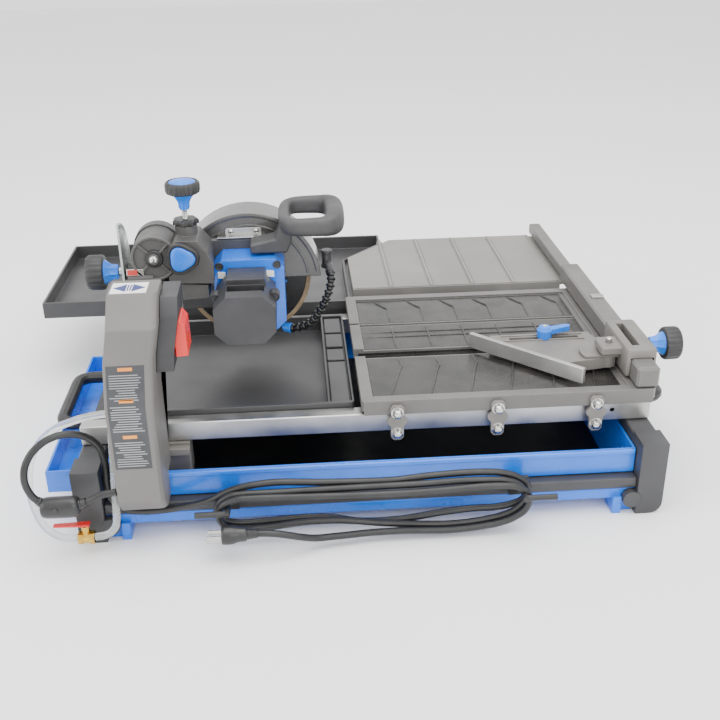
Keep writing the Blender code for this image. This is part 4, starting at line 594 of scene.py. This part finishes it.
# Two folds run across the mat's middle panel.
for place in (0.2560, 0.2720):
    deck_rib(f"deck_fold_{int(place * 1000)}", [(0.0060, place), (0.1000, place), (0.2100, place),
            (0.3210, place)])

# ---------------------------------------------------------------- fence and angle guide
# Cast stop bar in table paint, and an angle guide: a saddle, a slotted swinging arm with a
# zinc pivot and a brushed aluminium face, held by a blue lever.
softened("fence_bar", 0.0020, table_cast, 3)
softened("guide_carriage", 0.0015, cast_grey, 3)
softened("guide_arm", 0.0015, cast_grey, 3)
face_aluminium = surface("brushed_aluminium", ("BDBDBA", "A9A9A6"), (0.34, 0.48), 1.1, 0.02, metallic=0.9,
                         stretch=(1.0, 1.0, 0.08), edge_mm=0.6)
softened("guide_face", 0.0010, face_aluminium)
bright_blue = surface("bright_blue_nylon", ("0F6BD8", "1C7CE8"), (0.24, 0.36), 1.2, 0.01, mottle_mm=30,
                      edge_mm=0.8)
softened("guide_lever", 0.0010, bright_blue, 3)
slab("fence_stop_block", oblong(0.3440, 0.3620, 0.2900, 0.3020), 2, (0.1768, 0.1800), face_aluminium,
     "table", 0.0008)
# Arm details: a raised rib on each side of the slot, a half-round scale plate at the pivot, the
# pivot's cap and the lever's screw.
for side_y in (0.1785, 0.1945):
    slab(f"guide_arm_rib_{int(side_y * 1e4)}", oblong(0.1900, 0.3020, side_y - 0.0012, side_y + 0.0012), 2,
         (0.1655, 0.1676), cast_grey, "guide", 0.0006)
spun("guide_pivot_cap", [(0.0, 0.1905), (0.0030, 0.1903), (0.0040, 0.1893), (0.0040, 0.1885),
                         (0.0, 0.1885)], 2, (0.3180, 0.1260), zinc_steel, "guide", 20)
spun("lever_screw", [(0.0, 0.1848), (0.0026, 0.1846), (0.0032, 0.1839), (0.0032, 0.1835), (0.0, 0.1835)],
     2, (0.2480, 0.1860), zinc_steel, "guide_clamp_lever", 20)
arc = np.radians(np.linspace(-25, 205, 30))
slab("guide_scale_plate", [(0.3150 + 0.0330 * math.cos(a), 0.1290 + 0.0330 * math.sin(a)) for a in arc], 2,
     (0.1662, 0.1700), cast_grey, "guide", 0.0010)

# ---------------------------------------------------------------- knobs
# Soft black grips moulded over blue nylon hubs with fins, each on a bright zinc screw.
knob_rubber = surface("black_soft_grip", ("222223", "2D2D2E"), (0.42, 0.56), 1.0, 0.03, mottle_mm=25)


def finned_knob(node, axis, centre, start, sign, body, hub, grip, hub_length, grip_length, cap):
    """A fluted grip over a finned blue trumpet hub: the flutes are a cosine squared round the grip."""
    end = hub_length + grip_length
    flutes = lambda a: -0.0011 * np.cos(9 * a) ** 6
    profile = [(0.004, hub_length), (grip * 0.88, hub_length), (grip * 0.96, hub_length + 0.0010, 0.5),
               (grip, hub_length + 0.0035, 1), (grip, end - 0.0045, 1), (grip * 0.965, end - 0.0015, 0.6),
               (grip * 0.88, end, 0), (cap + 0.0008, end), (cap + 0.0004, end - 0.0012),
               (0.004, end - 0.0012)]
    piece = spun(node + "_grip", [(p[0], start + sign * p[1], *p[2:]) for p in profile], axis, centre,
                 knob_rubber, body, 108, flutes)
    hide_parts(node)
    t = np.linspace(0, 1, 9)
    trumpet = hub + (grip * 0.72 - hub) * np.clip((t - 0.30) / 0.70, 0, 1) ** 1.8
    fins = lambda a: 0.0016 * np.cos(4 * a) ** 8
    profile = [(0.0, 0.0)] + [(r, hub_length * 1.02 * s, 1 if 0 < s < 1 else 0)
                              for r, s in zip(trumpet, t)] + [(0.0, hub_length * 1.02)]
    spun(node + "_hub", [(p[0], start + sign * p[1], *p[2:]) for p in profile], axis, centre, bright_blue,
         body, 64, fins)
    t = np.linspace(0, 1, 7)
    dome = [(cap * math.cos(math.pi / 2 * s), end - 0.0012 + 0.0032 * math.sin(math.pi / 2 * s)) for s in t]
    finish = bright_blue if axis == 2 else knob_rubber
    spun(node + "_cap", [(0.0, start + sign * (end - 0.0014))] + [(r, start + sign * a) for r, a in dome],
         axis, centre, finish, body, 48)


finned_knob("fence_knob", 0, (0.1230, 0.1800), 0.3703, 1, "guide_clamp_knob", 0.0085, 0.0218, 0.0180,
            0.0210, 0.0150)
finned_knob("bevel_knob", 0, (0.2350, 0.2670), -0.3205, -1, "bevel_clamp_knob", 0.0090, 0.0235, 0.0180,
            0.0230, 0.0160)
finned_knob("depth_knob", 2, (-0.2260, 0.2300), 0.3510, 1, "depth_screw", 0.0058, 0.0226, 0.0220,
            0.0150, 0.0175)
# The depth screw's thread below its knob, and the fence knob's zinc screw.
level = np.linspace(0.2600, 0.3515, 184)
spun("depth_screw_thread", [(0.0, 0.2595)] + [(0.0034 + 0.0004 * math.sin(2 * math.pi * z / 0.0010 / 2), z)
                                              for z in level] + [(0.0, 0.3518)], 2, (-0.2260, 0.2300),
     zinc_steel, "depth_screw", 20)
spun("fence_screw", oblong(0.0, 0.0042, 0.3640, 0.3708), 0, (0.1230, 0.1800), zinc_steel,
     "guide_clamp_knob", 20)
# Star nut with seven lobes that locks the depth screw.
lobes = lambda a: 0.0018 * np.cos(7 * a)
star = spun("jam_star", [(0.0043, 0.3310), (0.0140, 0.3310), (0.0158, 0.3325, 1), (0.0158, 0.3370, 1),
                         (0.0140, 0.3390, 0.5), (0.0080, 0.3392), (0.0043, 0.3392)], 2, (-0.2260, 0.2300),
            moulded_black, "depth_jam_nut", 84, lobes, hollow=True)
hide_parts("jam_knob")


def rounded_triangle(reach, bulge, lean, count=72):
    """Distances from the middle that rise and fall three times a turn, by one share."""
    a = np.linspace(0, 2 * math.pi, count, endpoint=False)
    far = reach * (1 + bulge * np.cos(3 * (a - lean)))
    return np.stack((far * np.cos(a), far * np.sin(a)), 1)


def lock_part(name, sizes, finish):
    """Rings of the same rounded triangle, each with its own reach and level in front of the head."""
    rings = [np.insert(rounded_triangle(reach, 0.10, 0.0) + (-0.2300, 0.2985), 1, 0.1957 - level, axis=1)
             for reach, level in sizes]
    return skin(name, rings, finish, "head_lock", 50)


lock_rim = lock_part("lock_rim", [(0.0002, -0.0080), (0.0036, -0.0080), (0.0036, 0.0), (0.0158, 0.0),
                                  (0.0188, 0.0020), (0.0204, 0.0060), (0.0203, 0.0104), (0.0192, 0.0124),
                                  (0.0172, 0.0124), (0.0164, 0.0112), (0.0002, 0.0112)], knob_rubber)
lock_part("lock_face", [(0.0002, 0.0100), (0.0156, 0.0100), (0.0156, 0.0122), (0.0146, 0.0131),
                        (0.0124, 0.0137), (0.0080, 0.0141), (0.0002, 0.0143)], bright_blue)
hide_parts("lock_knob")

# ---------------------------------------------------------------- tilt bracket and bevel scale
# Sand-cast dark bracket: a drum with a raised rim and four ribs, a black boss with a dome nut, and
# a spring plunger; the fixed scale is a zinc plate with printed degree marks.
cast_dark = surface("cast_aluminium_dark_paint", ("434241", "4E4D4C"), (0.40, 0.54), 1.8, 0.08,
                    mottle_mm=40, edge_mm=1.0, worn="8C8A86")
softened("tilt_bracket", 0.0010, cast_dark)
scale_zinc = surface("zinc_scale_plate", ("B9C0BC", "A5ACA8"), (0.26, 0.40), 1.4, 0.01, metallic=0.85,
                     mottle_mm=30, edge_mm=0.5)
softened("bevel_plate", 0.0004, scale_zinc)
drum_x, drum_z, drum_front = -0.2670, 0.2960, 0.2000
spun("drum_rim", [(0.0262, drum_front + 0.001), (0.0262, drum_front - 0.0022),
                  (0.0270, drum_front - 0.0030), (0.0292, drum_front - 0.0030),
                  (0.0300, drum_front - 0.0022), (0.0300, drum_front + 0.001)], 1, (drum_x, drum_z),
     cast_dark, "tilt", 72, hollow=True)
for turn in range(4):
    a = math.radians(45 + 90 * turn)
    across, out = np.array((-math.sin(a), math.cos(a))), np.array((math.cos(a), math.sin(a)))
    outline = [(drum_x, drum_z) + out * r + across * w
               for r, w in ((0.008, -0.0015), (0.0268, -0.0015), (0.0268, 0.0015), (0.008, 0.0015))]
    slab(f"drum_rib_{turn}", outline, 1, (drum_front - 0.0024, drum_front + 0.001), cast_dark,
         "tilt", 0.0007)
spun("drum_boss", [(0.0, drum_front - 0.0050), (0.0060, drum_front - 0.0050),
                   (0.0105, drum_front - 0.0042), (0.0115, drum_front - 0.0030),
                   (0.0115, drum_front + 0.001), (0.0, drum_front + 0.001)], 1, (drum_x, drum_z),
     moulded_black, "tilt", 36)
spun("drum_nut", [(0.0, drum_front - 0.0098), (0.0030, drum_front - 0.0094), (0.0052, drum_front - 0.0080),
                  (0.0062, drum_front - 0.0056, 1), (0.0064, drum_front - 0.0030, 1),
                  (0.0, drum_front - 0.0030)], 1, (drum_x, drum_z), zinc_steel, "head", 36, hexagon)
spun("spring_plunger", [(0.0, 0.2480), (0.0030, 0.2482), (0.0036, 0.2492), (0.0036, 0.2510),
                        (0.0020, 0.2516), (0.0020, 0.2600), (0.0044, 0.2606), (0.0050, 0.2640),
                        (0.0040, 0.2680), (0.0, 0.2682)], 2, (-0.2690, 0.1950), zinc_steel, "tilt", 24)
scale_mark = surface("black_print_on_zinc", ("26292B", "303335"), (0.36, 0.46), 1.2, 0.004, edge_mm=0.1)
for degree in range(0, 50, 5):
    a = math.radians(90 + degree - 45)
    out = np.array((math.cos(a), math.sin(a)))
    across = np.array((-out[1], out[0])) * 0.00035
    reach = (0.0500, 0.0580) if degree % 15 == 0 else (0.0535, 0.0580)
    outline = [(0.2050, 0.2810) + out * r + across * w
               for r, w in ((reach[0], -1), (reach[1], -1), (reach[1], 1), (reach[0], 1))]
    slab(f"scale_mark_{degree}", outline, 0, (-0.3081, -0.3078), scale_mark, "frame")
red_label = surface("red_print", ("B8322C", "C43E37"), (0.34, 0.42), 1.2, 0.004, edge_mm=0.1)
slab("pointer_bracket", oblong(0.1970, 0.1990, 0.2740, 0.2830), 0, (-0.3040, -0.2820), zinc_steel,
     "tilt", 0.0005)
slab("pointer_label", oblong(0.1964, 0.1972, 0.2750, 0.2822), 0, (-0.3030, -0.2900), red_label, "tilt")
skin("pointer_tube", carried([(-0.3030 + 0.0036 * k, 0.2010, 0.2690) for k in range(10)], [0.0056] * 10,
                             24), cast_dark, "tilt")

# ---------------------------------------------------------------- plunging arm and blade guard
# Cast arm; deep-drawn steel guard in glossy dark grey with a rolled band on its arc, and a bent
# steel bracket held by two cross-head screws.
softened("head_arm", 0.0012, cast_dark, 3)
guard_paint = surface("glossy_dark_grey_enamel", ("403F3E", "4C4B4A"), (0.20, 0.32), 2.2, 0.012,
                      mottle_mm=90, edge_mm=1.0, coat=0.4)
softened("blade_guard", 0.0012, guard_paint)
guard_x, blade_z, guard_front = -0.1500, 0.2310, 0.2720
band_arc = np.radians(np.linspace(8, 172, 64))


def guard_band(name, radii, front, finish):
    """A raised band that follows the guard's arc: a rounded section carried round the centre."""
    low, high = radii
    rings = []
    for radius, level in ((low, 0.0005), (low, -0.0006), (low + 0.0006, -0.0012), (high - 0.0006, -0.0012),
                          (high, -0.0006), (high, 0.0005)):
        rings.append(np.stack((guard_x + radius * np.cos(band_arc), np.full(64, front + level),
                               blade_z + radius * np.sin(band_arc)), 1))
    return skin(name, np.stack(rings, 1), finish, "head", 50)


guard_band("guard_outer_band", (0.0925, 0.0990), guard_front, guard_paint)
guard_band("guard_inner_band", (0.0800, 0.0835), guard_front, guard_paint)
slab("guard_bracket", [(-0.1790, 0.3010), (-0.1770, 0.2995), (-0.1320, 0.2995), (-0.1300, 0.3010),
                       (-0.1300, 0.3080), (-0.1320, 0.3100), (-0.1770, 0.3100), (-0.1790, 0.3080)], 1,
     (0.2705, 0.2717), rail_aluminium, "head", 0.0004)
slab("guard_bracket_flange", oblong(-0.1900, -0.1250, 0.2600, 0.2715), 2, (0.2990, 0.3002), rail_aluminium,
     "head", 0.0004)
for screw_x in (-0.1715, -0.1375):
    spun(f"guard_screw_{int(-screw_x * 1e4)}",
         [(0.0, 0.2680), (0.0024, 0.2682), (0.0036, 0.2692), (0.0040, 0.2704), (0.0040, 0.2712),
          (0.0, 0.2712)], 1, (screw_x, 0.3048), zinc_steel, "head", 24)
    for w, h in ((0.0022, 0.0005), (0.0005, 0.0022)):
        slab(f"guard_screw_slot_{int(-screw_x * 1e4)}_{int(w * 1e4)}",
             oblong(screw_x - w, screw_x + w, 0.3048 - h, 0.3048 + h), 1, (0.2677, 0.2684),
             scale_mark, "head")

# ---------------------------------------------------------------- blade
# Continuous-rim porcelain blade: black-lacquered core, tan sintered rim, zinc flanges.
blade_core = surface("black_lacquered_steel_core", ("1A1A1B", "262627"), (0.24, 0.36), 1.2, 0.008,
                     metallic=0.3, mottle_mm=60, edge_mm=0.2)
blade_rim = surface("tan_sintered_diamond_rim", ("8A775C", "A08B6C"), (0.55, 0.70), 0.8, 0.08,
                    metallic=0.2, mottle_mm=12, edge_mm=0.2)
finished(blade_core, "cutting_blade")
finished(zinc_steel, "spindle", "flange_nut")
for face, level in (("front", -1), ("back", 1)):
    spun(f"blade_rim_{face}", [(0.0828, 0.3000 + level * 0.0012), (0.0832, 0.3000 + level * 0.00128),
                               (0.0888, 0.3000 + level * 0.00128), (0.0889, 0.3000 + level * 0.0011)], 1,
         (-0.1540, 0.2310), blade_rim, "blade", 96, hollow=True)
# A small blue disc on the blade's dark front face is a painted reflection.
spun("blade_painted_reflection", oblong(0.0, 0.0022, 0.3000 - 0.00112, 0.3000 - 0.0008), 1, (-0.1010, 0.2200),
     bright_blue, "blade", 20)

# ---------------------------------------------------------------- motor
# Two-part motor case: glossy blue nylon frame with two screws, and a black cap whose raised crown
# stands over an air slot; brush caps at its sides and a blank sticker beside each.
motor_blue = surface("blue_glossy_nylon", ("0B63D4", "1672E2"), (0.18, 0.28), 1.4, 0.01, mottle_mm=60,
                     edge_mm=1.6, coat=0.3)
cap_black = surface("motor_cap_black", ("2C2C2E", "37373A"), (0.34, 0.46), 1.0, 0.02, mottle_mm=45,
                    edge_mm=1.2)
softened("motor_housing", 0.0045, motor_blue, 4)
softened("motor_cap", 0.0022, cap_black, 3)
for screw_x, screw_z in ((-0.1860, 0.2760), (-0.1105, 0.2760)):
    spun(f"case_screw_{int(-screw_x * 1e4)}", [(0.0, 0.2141), (0.0040, 0.2141), (0.0042, 0.2136),
            (0.0052, 0.2134), (0.0056, 0.2140), (0.0056, 0.2150), (0.0, 0.2150)], 1, (screw_x, screw_z),
         cap_black, "head", 24)
for brush_x in (-0.1885, -0.1150):
    spun(f"brush_cap_{int(-brush_x * 1e4)}", [(0.0, 0.1560), (0.0052, 0.1560), (0.0056, 0.1545),
                                              (0.0064, 0.1545), (0.0068, 0.1560), (0.0068, 0.1700),
                                              (0.0, 0.1700)], 1, (brush_x + math.copysign(0.0010,
            brush_x + 0.15), 0.2540), cap_black, "head", 28)
for sticker_x in (-0.1835, -0.1195):
    slab(f"rating_sticker_{int(-sticker_x * 1e4)}", [(sticker_x - 0.0050, 0.2600),
            (sticker_x + 0.0050, 0.2590), (sticker_x + 0.0050, 0.2680), (sticker_x - 0.0050, 0.2690)], 1,
         (0.2134, 0.2144), print_white, "head", 0.0002)

# ---------------------------------------------------------------- handle
# Soft-touch dark rubber over a moulded loop that slopes up to the back: a rounded section is carried
# round a closed rounded rectangle, and is thickest at the right.
handle_rubber = surface("dark_soft_touch_rubber", ("363637", "424243"), (0.44, 0.58), 1.1, 0.03,
                        mottle_mm=50, edge_mm=1.4)
turn = np.linspace(0, 2 * math.pi, 96, endpoint=False)
loop = np.stack((np.sign(np.cos(turn)) * np.abs(np.cos(turn)) ** 0.55 * 0.0335 - 0.0645,
                 np.sign(np.sin(turn)) * np.abs(np.sin(turn)) ** 0.55 * 0.0400 + 0.2530), 1)
ahead_of = np.roll(loop, -1, 0) - np.roll(loop, 1, 0)
outward = np.stack((ahead_of[:, 1], -ahead_of[:, 0]), 1) / np.linalg.norm(ahead_of, axis=1)[:, None]
wide = np.interp(loop[:, 0], (-0.0960, -0.0800, -0.0480, -0.0330), (0.0080, 0.0080, 0.0095, 0.0128))
bend = np.linspace(0, 2 * math.pi, 24, endpoint=False)
across = np.sign(np.cos(bend)) * np.abs(np.cos(bend)) ** 0.7
tall = np.interp(loop[:, :1], (-0.0960, -0.0500, -0.0330), (0.0110, 0.0122, 0.0148))
rise = np.sign(np.sin(bend)) * np.abs(np.sin(bend)) ** 0.7 * tall
plan = loop[:, None] + (wide[:, None] * across)[:, :, None] * outward[:, None]
level = 0.3255 + 0.085 * (loop[:, 1:] - 0.2050) + rise
grip = skin("handle_loop", np.concatenate((plan, level[:, :, None]), 2), handle_rubber, "head", 60,
            hollow=True)
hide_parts("handle_grip")
slab("handle_neck", [(-0.1450, 0.2870), (-0.0960, 0.2870), (-0.0900, 0.3000), (-0.0860, 0.3200),
                     (-0.1030, 0.3270), (-0.1110, 0.3070), (-0.1450, 0.3000)], 1, (0.2260, 0.2612),
     handle_rubber, "head", 0.0035, 3)

# ---------------------------------------------------------------- water feed
# Ball-and-socket nozzle hose that stays where it is bent, black acetal with a blue tip, from a
# black tee on the guard; brass drain valve with a red vinyl-dipped lever.
NOZZLE_LINE = [(-0.0383, 0.2725, 0.2413), (-0.0373, 0.2644, 0.2370), (-0.0400, 0.2560, 0.2240),
               (-0.0460, 0.2540, 0.2080), (-0.0560, 0.2560, 0.1880), (-0.0700, 0.2600, 0.1700),
               (-0.0900, 0.2680, 0.1600), (-0.1020, 0.2735, 0.1592), (-0.1080, 0.2760, 0.1592)]
fine_line = routed(NOZZLE_LINE, 14 * 10 + 1)
beat = np.linspace(0, 14, 14 * 10 + 1) % 1
bead = np.where(beat < 0.62, 0.0030 + 0.0034 * np.sqrt(np.clip(1 - ((beat - 0.31) / 0.31) ** 2, 0, 1)),
                0.0030 + 0.0016 * (beat > 0.66))
balls_black = surface("black_acetal_hose_beads", ("161617", "202021"), (0.14, 0.24), 1.2, 0.006,
                      mottle_mm=20, edge_mm=0.3)
bead_hose = skin("nozzle_beads", carried(fine_line, bead, 24), balls_black, "head", 50)
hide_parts("nozzle_hose")
tip = fine_line[-16:]
skin("nozzle_tip", carried(tip + (0, 0, 0.0), np.interp(np.linspace(0, 1, 16), (0, 0.2, 0.8, 1),
        (0.0066, 0.0072, 0.0062, 0.0040)), 24), bright_blue, "head", 60)
spun("water_tee", [(0.0, 0.2420), (0.0070, 0.2420), (0.0080, 0.2428), (0.0080, 0.2462), (0.0067, 0.2472),
                   (0.0067, 0.2626), (0.0080, 0.2636), (0.0080, 0.2672), (0.0070, 0.2680), (0.0, 0.2680)],
     2, (-0.0420, 0.2900), cap_black, "head", 32)
skin("water_elbow", carried(routed([(-0.0420, 0.2860, 0.2490), (-0.0400, 0.2800, 0.2470),
                                    (-0.0386, 0.2740, 0.2425), (-0.0383, 0.2715, 0.2408)], 16),
                            np.interp(np.linspace(0, 1, 16), (0, 0.7, 0.75, 1),
                                      (0.0054, 0.0054, 0.0064, 0.0064)), 24), cap_black, "head")
valve_brass = surface("tumbled_brass", ("D9B45A", "C79F45"), (0.18, 0.32), 1.6, 0.02, metallic=1.0,
                      mottle_mm=12, edge_mm=0.3)
finished(valve_brass, "valve_body")
vx, vy, vz = DRAIN_VALVE
for number, (start, end, wide) in enumerate(((0.0040, 0.0100, 0.0078), (-0.0095, -0.0040, 0.0078))):
    spun(f"valve_hexagon_{number}", [(0.0, vx + start), (wide, vx + start, 1), (wide, vx + end, 1),
                                     (0.0, vx + end)], 0, (vy, vz), valve_brass, "frame", 36,
         lambda a: 0.0005 * np.cos(6 * a))
dipped_red = surface("red_dipped_vinyl", ("C1201E", "D12C28"), (0.20, 0.32), 1.2, 0.01, mottle_mm=20,
                     edge_mm=0.5)
softened("valve_lever", 0.0010, dipped_red, 3)

# ---------------------------------------------------------------- floor and light
# A flat floor of pale matt paper, one broad soft light overhead and two wide fills, in a white
# surround that lights every side.
paper = surface("pale_backdrop_paper", ("F4F4F4", "F7F7F7"), (0.85, 0.90), 3.0, 0.0, mottle_mm=900)
floor_mesh = bpy.data.meshes.new("floor")
reach = 6.0
floor_mesh.from_pydata([(-reach, -reach, 0), (reach, -reach, 0), (reach, reach, 0), (-reach, reach, 0)],
                       [], [(0, 1, 2, 3)])
floor_mesh.materials.append(paper)
floor = bpy.data.objects.new("floor", floor_mesh)
bpy.context.scene.collection.objects.link(floor)
world = bpy.data.worlds.new("studio")
bpy.context.scene.world = world
world.use_nodes = True
world.node_tree.nodes["Background"].inputs["Color"].default_value = (1.0, 1.0, 1.0, 1.0)
world.node_tree.nodes["Background"].inputs["Strength"].default_value = 1.7
for name, place, size, power in (("overhead", (0.2, -0.3, 2.6), 2.4, 78.0),
                                 ("left_fill", (-2.2, -1.2, 1.3), 1.6, 28.0),
                                 ("front_fill", (0.9, -2.6, 1.5), 1.6, 26.0)):
    light = bpy.data.lights.new(name, "AREA")
    light.size, light.energy = size, power
    lamp = bpy.data.objects.new(name, light)
    bpy.context.scene.collection.objects.link(lamp)
    lamp.location = place
    lamp.rotation_euler = (Vector((0, 0, 0.1)) - Vector(place)).to_track_quat("-Z", "Y").to_euler()
